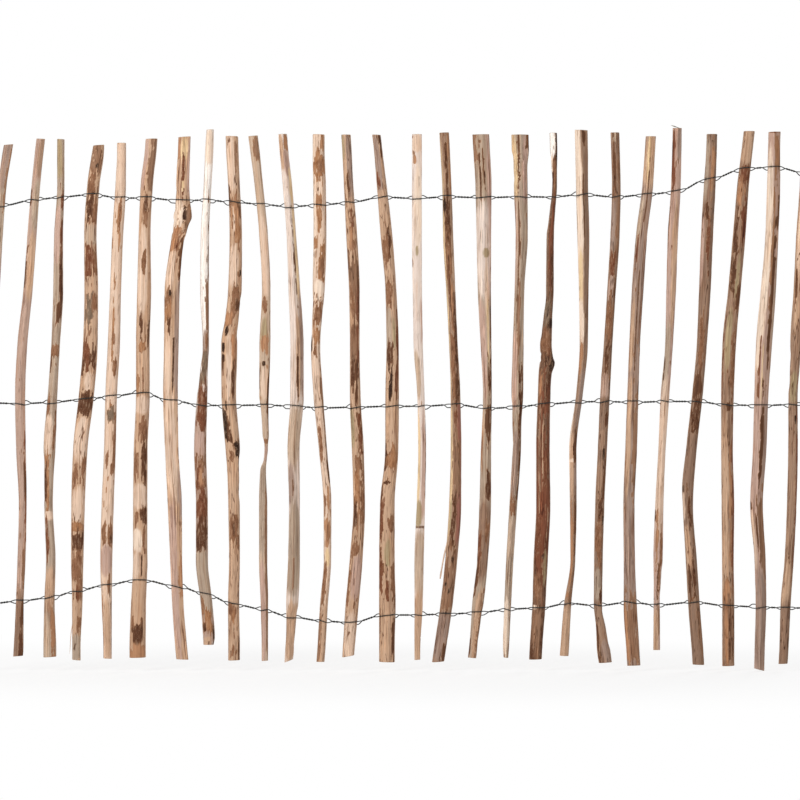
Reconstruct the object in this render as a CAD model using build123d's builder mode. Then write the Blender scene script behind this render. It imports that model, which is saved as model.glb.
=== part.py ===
from build123d import *
import math
import os

os.makedirs("parts", exist_ok=True)

# A stretch of split hazel paling: upright pickets held by three rows of twisted wire pairs.
# X runs along the fence, Y from its front to its back, Z up. The origin is under the middle
# of the fence, on the ground line. All sizes are in millimetres.

# Pickets
picket_length = 1200.0
picket_pitch = 70.5
picket_width = 25.0
picket_depth = 17.0
end_clearance = 6.0
width_share_of_depth = 0.5
bow_share_above_middle = 0.5

# Wires
wire_diameter = 2.0
wire_splay = 3.4
fork_length = 9.0
fork_share = 0.36
seat_clearance = 0.05
twist_clearance = 0.1
gap_quarter_turns = 2
tail_twist_step = 14.0
end_reach = 103.5

# Rows of wire, measured from the ends of a picket of nominal length
top_row_drop = 120.0
bottom_row_rise = 150.0

# Heights at which each picket is surveyed, as shares of its length
survey_shares = (0.040, 0.126, 0.211, 0.316, 0.421, 0.526, 0.621, 0.726, 0.830, 0.926, 0.992)

# Cross-sections seen from above, front at the bottom: shares of width and depth.
# A half round with its bark to the front and a shallow cleft ridge behind
bark_front = (
    (-0.50, 0.16), (-0.40, -0.27), (-0.15, -0.48), (0.17, -0.50), (0.41, -0.25), (0.50, 0.18), (0.06, 0.50),
)
# A half round with two cleft planes to the front and its bark behind
cleft_front = (
    (-0.50, -0.20), (-0.08, -0.50), (0.50, -0.28), (0.43, 0.18), (0.19, 0.46), (-0.17, 0.50), (-0.42, 0.22),
)
# A quarter of a stem with its sharp inner edge to the front
quarter_front = (
    (-0.50, 0.02), (-0.02, -0.50), (0.50, 0.06), (0.40, 0.32), (0.16, 0.48), (-0.16, 0.50), (-0.40, 0.30),
)
# A thin whole stem
whole_stem = (
    (-0.50, 0.05), (-0.33, -0.36), (0.05, -0.50), (0.41, -0.30), (0.50, 0.12), (0.22, 0.47), (-0.26, 0.50),
)

# Survey of the pickets, from the fence's left end to its right end. Each row gives the section,
# whether it is mirrored, the depth in percent of the nominal depth, the bow to the back in the
# middle, the heights of the foot's left and right corners above the ground line, and the heights
# of the top's left and right corners above the nominal length. Then come the sway of the
# centre line from its place on the pitch and the width in percent of the nominal width: at the
# foot, at each surveyed height and at the top.
pickets = {
    "picket_01": (cleft_front, False, 95, 3, (34, 34), (2, 4),
        (-11, -10, -6, -3, 1, -4, -6, -1, 12, 22, 31, 43, 45),
        (82, 82, 78, 78, 82, 91, 91, 91, 101, 82, 80, 88, 88)),
    "picket_02": (cleft_front, True, 90, -2, (33, 35), (17, 16),
        (-4, -3, 0, 4, 7, 3, 1, 6, 19, 28, 37, 45, 48),
        (92, 92, 73, 76, 73, 91, 95, 93, 86, 86, 81, 81, 81)),
    "picket_03": (bark_front, False, 100, 2, (31, 33), (16, 15),
        (-2, -2, -3, 0, -5, -3, 4, 11, 17, 18, 23, 23, 23),
        (121, 121, 99, 90, 80, 111, 90, 82, 94, 84, 69, 70, 70)),
    "picket_04": (bark_front, True, 105, -3, (26, 24), (1, 3),
        (-12, -12, -10, -10, -8, -3, 11, 20, 22, 20, 27, 38, 39),
        (79, 79, 98, 116, 128, 135, 142, 137, 128, 117, 116, 110, 104)),
    "picket_05": (bark_front, False, 90, 4, (29, 28), (7, 7),
        (-11, -11, -13, -14, -11, -6, -3, 3, 7, 12, 19, 21, 21),
        (78, 78, 94, 113, 114, 110, 110, 114, 104, 103, 99, 85, 85)),
    "picket_06": (bark_front, True, 110, 1, (30, 31), (16, 17),
        (-13, -13, -11, -7, -7, -6, -1, -1, 2, 3, 8, 17, 19),
        (152, 152, 142, 135, 134, 130, 129, 128, 131, 112, 115, 111, 111)),
    "picket_07": (cleft_front, False, 115, -2, (27, 26), (20, 22),
        (19, 17, 9, 5, 2, -5, -8, -6, -4, 11, 20, 23, 24),
        (112, 112, 107, 112, 132, 126, 137, 137, 142, 131, 123, 114, 114)),
    "picket_08": (bark_front, False, 105, 3, (43, 49), (37, 38),
        (7, 7, 4, -7, -7, -11, -6, 2, -1, 0, 6, 10, 12),
        (91, 91, 110, 114, 112, 114, 96, 61, 82, 78, 73, 77, 70)),
    "picket_09": (bark_front, True, 110, -1, (24, 25), (23, 22),
        (-4, -4, -5, -3, -4, -7, -16, -15, -2, 0, -4, -8, -9),
        (110, 110, 105, 102, 108, 133, 137, 151, 128, 117, 110, 117, 117)),
    "picket_10": (whole_stem, False, 90, 4, (23, 24), (22, 24),
        (-4, -4, -5, -8, -8, -1, -6, -4, -1, -7, -18, -27, -31),
        (59, 59, 69, 76, 76, 33, 88, 100, 78, 80, 78, 87, 87)),
    "picket_11": (quarter_front, False, 110, -2, (19, 27), (27, 28),
        (-20, -18, -12, -8, -7, -9, -1, -1, -7, -14, -23, -31, -34),
        (82, 82, 112, 112, 101, 113, 126, 124, 111, 90, 88, 82, 82)),
    "picket_12": (bark_front, False, 95, 2, (21, 21), (27, 26),
        (-18, -16, -10, -2, -2, -12, -23, -29, -22, -19, -20, -22, -22),
        (76, 76, 75, 70, 75, 77, 91, 87, 113, 121, 119, 112, 112)),
    "picket_13": (bark_front, True, 100, -3, (31, 36), (26, 26),
        (-25, -24, -16, -7, 0, -3, -9, -10, -11, -17, -24, -28, -30),
        (112, 112, 123, 121, 110, 112, 101, 91, 100, 104, 89, 89, 89)),
    "picket_14": (bark_front, False, 115, 2, (21, 20), (26, 25),
        (-7, -7, -6, -7, -6, 4, 5, 6, 2, -8, -19, -27, -31),
        (146, 146, 155, 146, 137, 124, 128, 116, 104, 111, 93, 80, 80)),
    "picket_15": (cleft_front, False, 85, -2, (25, 26), (27, 27),
        (-8, -8, -5, -4, 0, 3, 0, -6, -8, -9, -9, -9, -9),
        (55, 55, 78, 87, 78, 73, 69, 87, 87, 91, 91, 91, 91)),
    "picket_16": (bark_front, True, 105, 3, (20, 22), (30, 31),
        (-31, -27, -12, -1, 8, 10, 9, 4, -2, -8, -11, -15, -17),
        (114, 114, 114, 114, 114, 101, 91, 82, 87, 96, 87, 91, 91)),
    "picket_17": (cleft_front, True, 100, -3, (31, 29), (26, 27),
        (-24, -22, -11, 0, 6, 8, 11, 8, 4, 3, 2, -2, -4),
        (78, 78, 105, 101, 110, 96, 82, 101, 123, 137, 151, 155, 155)),
    "picket_18": (quarter_front, True, 95, 2, (31, 30), (26, 26),
        (-17, -17, -13, -8, 0, 8, 9, 11, 14, 19, 17, 16, 15),
        (44, 55, 64, 69, 73, 78, 110, 101, 91, 114, 128, 160, 160)),
    "picket_19": (bark_front, False, 115, -2, (26, 27), (30, 30),
        (-20, -19, -12, -8, -2, -3, 0, 4, 13, 14, 24, 22, 21),
        (119, 119, 123, 133, 133, 128, 119, 110, 73, 69, 46, 69, 69)),
    "picket_20": (quarter_front, False, 95, 3, (35, 34), (37, 36),
        (-25, -24, -17, -5, -4, -5, 10, 20, 20, 19, 16, 15, 14),
        (82, 82, 69, 46, 64, 69, 64, 78, 91, 114, 114, 119, 119)),
    "picket_21": (bark_front, True, 90, -4, (18, 20), (31, 31),
        (-1, -5, -18, -17, -14, -8, -2, 5, 13, 21, 24, 22, 21),
        (123, 123, 78, 82, 87, 87, 91, 82, 82, 87, 82, 82, 82)),
    "picket_22": (cleft_front, False, 100, 2, (12, 13), (22, 22),
        (-7, -9, -15, -17, -18, -13, -9, -5, 2, 11, 25, 30, 32),
        (123, 123, 123, 105, 105, 110, 105, 101, 110, 105, 101, 96, 96)),
    "picket_23": (cleft_front, True, 90, -1, (31, 37), (41, 41),
        (-25, -25, -25, -22, -19, -13, -6, 3, 8, 12, 19, 21, 22),
        (64, 64, 59, 87, 78, 69, 82, 73, 91, 96, 91, 87, 85)),
    "picket_24": (bark_front, False, 105, 4, (15, 14), (27, 27),
        (0, -2, -10, -16, -24, -16, -2, 8, 15, 20, 26, 30, 31),
        (110, 110, 110, 105, 97, 101, 101, 96, 110, 114, 110, 101, 101)),
    "picket_25": (bark_front, True, 110, -3, (11, 12), (34, 34),
        (-2, -2, -2, -3, -3, -5, -4, 0, 12, 23, 32, 41, 46),
        (114, 114, 114, 110, 119, 110, 119, 128, 119, 119, 110, 105, 105)),
    "picket_26": (quarter_front, False, 110, 1, (6, 0), (32, 33),
        (-2, -1, 2, 0, -8, -1, 3, 9, 19, 27, 31, 32, 33),
        (96, 96, 101, 105, 119, 128, 133, 151, 142, 123, 123, 114, 114)),
    "picket_27": (bark_front, False, 100, 2, (16, 17), (32, 32),
        (-18, -16, -12, -4, 2, 5, 5, 12, 19, 25, 33, 36, 38),
        (87, 87, 96, 87, 91, 91, 87, 110, 105, 105, 105, 105, 105)),
}

# Kinks, knots and notches between the surveyed heights: height as a share of the length, sway
# of the centre line and width in percent
local_forms = {
    "picket_07": ((0.819, 8, 121), (0.865, 20, 171)),
    "picket_08": ((0.050, 8, 96), (0.065, 9, 112)),
    "picket_10": ((0.383, -8, 53), (0.404, -3, 28), (0.434, -1, 36), (0.448, -2, 58)),
    "picket_19": ((0.564, 2, 123), (0.587, 7, 141), (0.608, 5, 112)),
    "picket_24": ((0.345, -24, 108),),
}

# Splinters that peel off a picket's left side towards its foot: height as a share of the length,
# how far the splinter's middle stands out of the side, and its width
splinters = {
    "picket_04": ((0.090, -2.5, 3.0), (0.067, 2.7, 2.7), (0.051, 4.3, 2.7), (0.036, 6.0, 1.2)),
    "picket_16": ((0.270, -5.0, 4.6), (0.240, -3.2, 5.5), (0.215, 2.5, 4.6), (0.198, 5.7, 4.1), (0.173, 7.3, 5.0)),
}
splinter_depth = 3.5

# Sliver torn up across the top of one picket, measured from the top's left corner
torn_picket = "picket_23"
torn_sliver = ((-4.3, 7.2), (3.4, 6.1), (16.0, 1.1), (16.0, -2.0), (0.7, -2.0), (0.3, 2.4))
torn_depth = 5.0

# Drift of each row of wire from its nominal height, at each picket
row_drifts = {
    "top": (
        -17, -3, 3, 9, 1, 1, -5, -3, -9, -13, -19, -15, -9, 3, 0, 4, 2, 4, 3, 9, 3, 9, 15, 45, 68, 72, 58,
    ),
    "middle": (
        -2, -4, -1, 6, 13, 21, 3, -8, -8, -7, -10, -14, -12, -10, -10, -6, -15, -12, -5, 0, 1, -1, 1, 1, -7, -8, -6,
    ),
    "bottom": (
        3, 10, 17, 33, 47, 58, 44, 26, 2, -10, -27, -36, -39, -22, -22, -20, -17, -9, -6, 5, -1, 7, 0, 7, -1, -4, -6,
    ),
}
top_row = picket_length - top_row_drop
bottom_row = bottom_row_rise
middle_row = (top_row + bottom_row) / 2
row_heights = {"top": top_row, "middle": middle_row, "bottom": bottom_row}

# Values that follow from the sizes above
middle_number = (len(pickets) - 1) / 2
fence_half_length = middle_number * picket_pitch + end_reach
# The diamond section of a wire has the same area as the round wire
wire_half_diagonal = wire_diameter * math.sqrt(math.pi / 8)
twist_radius = wire_half_diagonal + twist_clearance / 2
quarter_turn = math.pi / 2


def stations_of(number, name):
    """Return a picket's stations from foot to top: height, centre x and y, width, depth, slope."""
    section, mirrored, depth_percent, bow, foot, top, sways, widths = pickets[name]
    foot_height = sum(foot) / 2
    top_height = picket_length + sum(top) / 2
    surveyed = list(zip(survey_shares, sways[1:-1], widths[1:-1])) + list(local_forms.get(name, ()))
    readings = [(foot_height, foot[1] - foot[0], sways[0], widths[0])]
    for share, sway, width_percent in sorted(surveyed):
        height = share * picket_length
        if foot_height + end_clearance < height < top_height - end_clearance:
            readings.append((height, 0, sway, width_percent))
    readings.append((top_height, top[1] - top[0], sways[-1], widths[-1]))
    stations = []
    for height, slope, sway, width_percent in readings:
        x = (number - middle_number) * picket_pitch + sway
        along = 2 * height / picket_length - 1
        y = bow * (bow_share_above_middle - along * along)
        width = picket_width * width_percent / 100
        fullness = 1 - width_share_of_depth + width_share_of_depth * width_percent / 100
        depth = picket_depth * depth_percent / 100 * fullness
        stations.append((height, x, y, width, depth, slope))
    return stations


def place_at(stations, height):
    """Return a picket's centre x and y, width and depth at a height, between its stations."""
    for below, above in zip(stations, stations[1:]):
        if height <= above[0]:
            break
    share = (height - below[0]) / (above[0] - below[0])
    return [a + share * (b - a) for a, b in zip(below[1:5], above[1:5])]


def make_picket(name, stations):
    """Loft one picket through its stations; the end sections lie in their sloping cuts."""
    section, mirrored = pickets[name][:2]
    side = -1 if mirrored else 1
    with BuildPart() as picket:
        for height, x, y, width, depth, slope in stations:
            tilt = math.atan2(slope, width)
            along = math.hypot(slope, width)
            cut = Plane(
                origin=(x, y, height),
                x_dir=(math.cos(tilt), 0, math.sin(tilt)),
                z_dir=(-math.sin(tilt), 0, math.cos(tilt)),
            )
            with BuildSketch(cut):
                with BuildLine():
                    Polyline(*[(side * u * along, v * depth) for u, v in section], close=True)
                make_face()
        loft(ruled=True)
        if name in splinters:
            for share, reach, splinter_width in splinters[name]:
                height = share * picket_length
                x, y, width, depth = place_at(stations, height)
                with BuildSketch(Plane.XY.offset(height)):
                    with Locations((x - width / 2 - reach, y)):
                        Rectangle(splinter_width, splinter_depth)
            loft(ruled=True)
        if name == torn_picket:
            height, x, y, width, depth, slope = stations[-1]
            corner = Plane(origin=(x - width / 2, y, height), x_dir=(1, 0, 0), z_dir=(0, -1, 0))
            with BuildSketch(corner):
                with BuildLine():
                    Polyline(*torn_sliver, close=True)
                make_face()
            extrude(amount=torn_depth / 2, both=True)
    return picket.part


def row_axis(row):
    """Return, for each picket, the row's height there and the picket's place at that height."""
    heights = [row_heights[row] + drift for drift in row_drifts[row]]
    return [(height, *place_at(stations, height)) for height, stations in zip(heights, all_stations)]


def twist_points(start, end, front, steps, first_phase):
    """Return the points of one wire of a twisted pair, a quarter turn apart, from start to end."""
    points = []
    for step in range(steps + 1):
        share = step / steps
        x, y, z = [a + share * (b - a) for a, b in zip(start, end)]
        phase = first_phase + step * quarter_turn + (0 if front else math.pi)
        points.append((x, y + twist_radius * math.cos(phase), z + twist_radius * math.sin(phase)))
    return points


def wire_route(row, front):
    """Return the points of one wire along a row: past every picket, twisted in every gap."""
    axis = row_axis(row)
    side = -1 if front else 1
    lower = -quarter_turn
    route = []
    height, x, y, width, depth = axis[0]
    join = x - width / 2 - fork_length
    tail_steps = max(1, int((join + fence_half_length) / tail_twist_step))
    route += twist_points((-fence_half_length, y, height), (join, y, height), front, tail_steps, lower)
    for here, beyond in zip(axis, axis[1:] + [None]):
        height, x, y, width, depth = here
        pass_y = y + side * (depth / 2 + wire_half_diagonal + seat_clearance)
        pass_z = height + side * wire_splay
        route += [(x - width / 2, pass_y, pass_z), (x + width / 2, pass_y, pass_z)]
        if beyond is None:
            join = x + width / 2 + fork_length
            tail_steps = max(1, int((fence_half_length - join) / tail_twist_step))
            route += twist_points((join, y, height), (fence_half_length, y, height), front, tail_steps, lower)
            continue
        next_height, next_x, next_y, next_width, next_depth = beyond
        left = x + width / 2
        right = next_x - next_width / 2
        fork = min(fork_length, fork_share * (right - left))
        start = (left + fork, y, height)
        end = (right - fork, next_y, next_height)
        route += twist_points(start, end, front, gap_quarter_turns, lower)
    return route


def make_wire(route):
    """Loft one wire along its route through upright diamond sections, one at each bend."""
    with BuildPart() as wire:
        for x, y, z in route:
            with BuildSketch(Plane(origin=(x, y, z), x_dir=(0, 1, 0), z_dir=(1, 0, 0))):
                with BuildLine():
                    Polyline(
                        (wire_half_diagonal, 0),
                        (0, wire_half_diagonal),
                        (-wire_half_diagonal, 0),
                        (0, -wire_half_diagonal),
                        close=True,
                    )
                make_face()
        loft(ruled=True)
    return wire.part


all_stations = [stations_of(number, name) for number, name in enumerate(pickets)]

for name, stations in zip(pickets, all_stations):
    part = make_picket(name, stations)
    part.label = name
    export_step(part, f"parts/{name}.step")

for row in row_heights:
    for place in ("front", "back"):
        part = make_wire(wire_route(row, place == "front"))
        part.label = f"{row}_wire_{place}"
        export_step(part, f"parts/{row}_wire_{place}.step")
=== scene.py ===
import math

import bpy
import numpy as np
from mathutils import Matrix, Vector, noise


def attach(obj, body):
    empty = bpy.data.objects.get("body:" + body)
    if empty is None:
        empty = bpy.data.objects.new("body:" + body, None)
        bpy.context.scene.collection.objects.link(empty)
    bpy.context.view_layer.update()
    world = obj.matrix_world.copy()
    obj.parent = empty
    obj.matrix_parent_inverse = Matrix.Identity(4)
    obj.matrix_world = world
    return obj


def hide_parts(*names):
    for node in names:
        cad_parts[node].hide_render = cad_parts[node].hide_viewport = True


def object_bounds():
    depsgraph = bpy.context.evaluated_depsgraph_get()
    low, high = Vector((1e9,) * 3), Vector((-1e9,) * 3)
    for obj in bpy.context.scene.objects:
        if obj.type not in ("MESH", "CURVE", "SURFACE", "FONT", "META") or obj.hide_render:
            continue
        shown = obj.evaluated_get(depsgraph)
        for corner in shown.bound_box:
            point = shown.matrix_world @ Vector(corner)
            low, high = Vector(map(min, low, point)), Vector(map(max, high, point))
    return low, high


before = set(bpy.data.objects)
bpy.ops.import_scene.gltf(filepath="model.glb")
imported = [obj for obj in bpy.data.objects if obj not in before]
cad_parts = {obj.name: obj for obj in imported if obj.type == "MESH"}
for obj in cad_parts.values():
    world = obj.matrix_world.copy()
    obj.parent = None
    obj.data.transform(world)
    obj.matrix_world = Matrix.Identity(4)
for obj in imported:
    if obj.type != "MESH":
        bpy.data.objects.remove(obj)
cad_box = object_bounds()

# Rows of the photograph's 800 x 800 frame give the heights of marks on the pickets. One row is
# PIXEL metres high and the ground line lies at GROUND_ROW.
PIXEL = 0.0022857
GROUND_ROW = 671
VIEW_WIDTH = 800 * PIXEL
VIEW_CENTRE = (0.0229, 0.6194)

# Picket skins: corners of a CAD ring, rings of the finer skin, places of its points along a ring's
# sides, the shrinking rings of a cut end, how much longer than the mean a cleft side is, the least
# height between two CAD rings, and how level the corners of a top are
RING_CORNERS = 7
RINGS = 450
CLEFT_SAMPLES = (0.05, 0.22, 0.41, 0.59, 0.78, 0.95)
BARK_SAMPLES = 18
BARK_SPAN = (0.07, 4.93)
STEM_SAMPLES = 28
CAP_SCALES = (0.94, 0.7, 0.42, 0.18)
CAP_CHAMFER = 0.0006
LONG_SIDE = 1.2
RING_GAP = 0.004
LEVEL_TOLERANCE = 0.0003
SLIVER_RINGS = 26
SLIVER_SIDES = 8

# Patches on the pickets: scales of their noise across and along the picket and its step from one
# picket to the next, how sharply an edge comes in, how ragged it is, and the rise in millimetres
# of scattered bark
NOISE_SHIFT = (3.7, 1.9, 0.37)
GRAIN_SHIFT = (0.31, 0.17, 2.3)
DRIFT_SCALE = (130, 130, 30)
SPIKE_SCALE = (420, 420, 26)
FINE_SCALE = (520, 520, 150)
PATCH_SCALE = (70, 70, 16)
FLECK_SCALE = (300, 300, 36)
RAGGED_SHARES = (0.3, 0.5, 0.16)
RAGGED_RANGE = (0.3, 1)
PATCH_EDGE = (0.93, 1.07)
FLECK_EDGE = (0.9, 1.04)
MARK_SQUARENESS = 2.4
MARK_SOFT_HEIGHT = 8 * PIXEL
WOOD_EDGE = (1.16, 0.86)
WOOD_RAGGEDNESS = 0.4
BARK_EDGE = (1.3, 0.74)
BARK_RAGGEDNESS = 1.6
BARED_SHARE = 0.9
SCATTERED_RISE = 0.2
FRONT_TURN = 1.6
MILLIMETRE = 0.001

# Wires: their section, their twist, and how they seat and fork at a picket
WIRE_RADIUS = 0.00115
WIRE_SIDES = 8
WIRE_STEP = 0.0014
TWIST_RADIUS = 0.00122
TWIST_PITCH = 0.0112
SEAT_GAP = 0.0001
SEAT_SIDES = 12
SECTION_GAP = 0.0002
PASS_GAP = 0.003
UPPER_SHARES = (0.35, 0.65)
FRONT_SPLAY = (0.0006, 0.0036)
BACK_SPLAY = (0.003, 0.007)
FORK_RANGE = (0.010, 0.018)
FORK_SHARE = 0.36
END_INSET = 0.001
BOX_INSET = 0.00003
LEVEL_STEPS = 1400
LEVEL_REACH = 11
ROW_SEEDS = {"top": 3, "middle": 6, "bottom": 10}
FORK_EASE = 0.006
FRONT_PHASE = math.radians(200)
DENT_REACH = 0.0035
DENT_FACING = 0.3

# Stage: the world's soft light, the floor, the lamps as name, place and power, and the camera
WORLD_LIGHT = 0.42
FLOOR_HALF_SIZE = 12.0
FLOOR_WHITENESS = 0.72
FLOOR_TONE = (0.92, 0.92, 0.92, 1)
LAMP_TARGET = (0, 0, 0.6)
LAMP_SIZE = 2.5
LAMPS = (
    ("key", (-3.2, -4.6, 3.4), 270),
    ("fill", (3.6, -4.4, 1.6), 25),
    ("back", (2.8, 4.8, 3.2), 170),
)
LENS = 200
SENSOR = 36

# Shades that multiply the tone of cleft wood
DARK_STREAK = (0.50, 0.37, 0.28)
PALE_STREAK = (1.38, 1.36, 1.32)
SPLIT_SHADE = (0.33, 0.20, 0.13)
BRIGHT_THREAD = (1.42, 1.38, 1.32)
WARM_BAND = (0.93, 0.76, 0.62)
COOL_BAND = (0.86, 0.86, 0.88)
YEAR_LINE = (0.55, 0.42, 0.32)
CRACK_SHADE = (0.22, 0.13, 0.08)
FLECK_SHADE = (0.6, 0.45, 0.35)
FIBRE_SHADE = (0.7, 0.6, 0.52)

# Shades and tones of bark, its pale rim and the sawn ends
DEEP_FLAKE = (0.42, 0.31, 0.24)
RIDGE_SHADE = (0.46, 0.36, 0.29)
PALE_FLAKE = (0.56, 0.37, 0.24, 1)
PORE_TONE = (0.58, 0.45, 0.33, 1)
RIM_TONE = (0.5, 0.3, 0.17, 1)
RING_PALE = (0.50, 0.33, 0.20, 1)
RING_DARK = (0.25, 0.14, 0.08, 1)
SAWN_TONE = (0.42, 0.30, 0.20, 1)

# Finish of wood, bark and zinc: roughness, gloss, the turn from one year line to the next, and how
# strongly crack lines show on a picket with less or more scattered bark than BARKED_SHARE
WOOD_ROUGHNESS = 0.68
BARK_ROUGHNESS = 0.84
DULL_GLOSS = 0.15
RING_TURN = 6.2832
SCATTERED_CRACKS = 0.35
MANY_CRACKS = 0.9
BARKED_SHARE = 0.08

# Tones of dull zinc
ZINC_DARK = (0.012, 0.012, 0.011, 1)
ZINC_PALE = (0.045, 0.045, 0.042, 1)
ZINC_STAIN = (0.065, 0.048, 0.03, 1)

# Tones: the layer each lies in, its colour as red, green and blue from 0 to 255, and how far it
# stands out in millimetres
TONES = {
    "white": ("wood", (240, 232, 224), 0.0),
    "cream": ("wood", (229, 208, 188), 0.0),
    "golden": ("wood", (220, 192, 152), 0.0),
    "pale": ("wood", (214, 187, 165), 0.0),
    "rosy": ("wood", (186, 156, 141), 0.0),
    "tan": ("wood", (192, 159, 132), 0.0),
    "beige": ("wood", (190, 166, 144), 0.0),
    "grey": ("wood", (172, 152, 133), 0.0),
    "mauve": ("wood", (158, 134, 120), 0.0),
    "olive": ("wood", (168, 148, 116), 0.0),
    "ash": ("wood", (219, 202, 190), 0.0),
    "clay": ("wood", (174, 146, 130), 0.0),
    "drab": ("wood", (158, 128, 106), 0.0),
    "dun": ("wood", (140, 112, 93), 0.0),
    "peat": ("wood", (112, 82, 64), 0.0),
    "plum": ("wood", (150, 101, 86), 0.0),
    "weathered": ("wood", (134, 130, 112), 0.0),
    "orange": ("stain", (174, 129, 96), 0.05),
    "brown": ("stain", (144, 110, 86), 0.05),
    "umber": ("stain", (98, 65, 44), 0.05),
    "red": ("stain", (120, 73, 52), 0.05),
    "bark": ("bark", (134, 94, 68), 0.25),
    "dark_bark": ("bark", (90, 57, 38), 0.3),
    "red_bark": ("bark", (114, 69, 47), 0.3),
    "thin_bark": ("bark", (160, 114, 80), 0.15),
    "grey_bark": ("bark", (118, 98, 80), 0.2),
    "crack": ("bark", (60, 40, 30), -0.7),
    "knot": ("bark", (52, 34, 24), 0.4),
}

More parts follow.
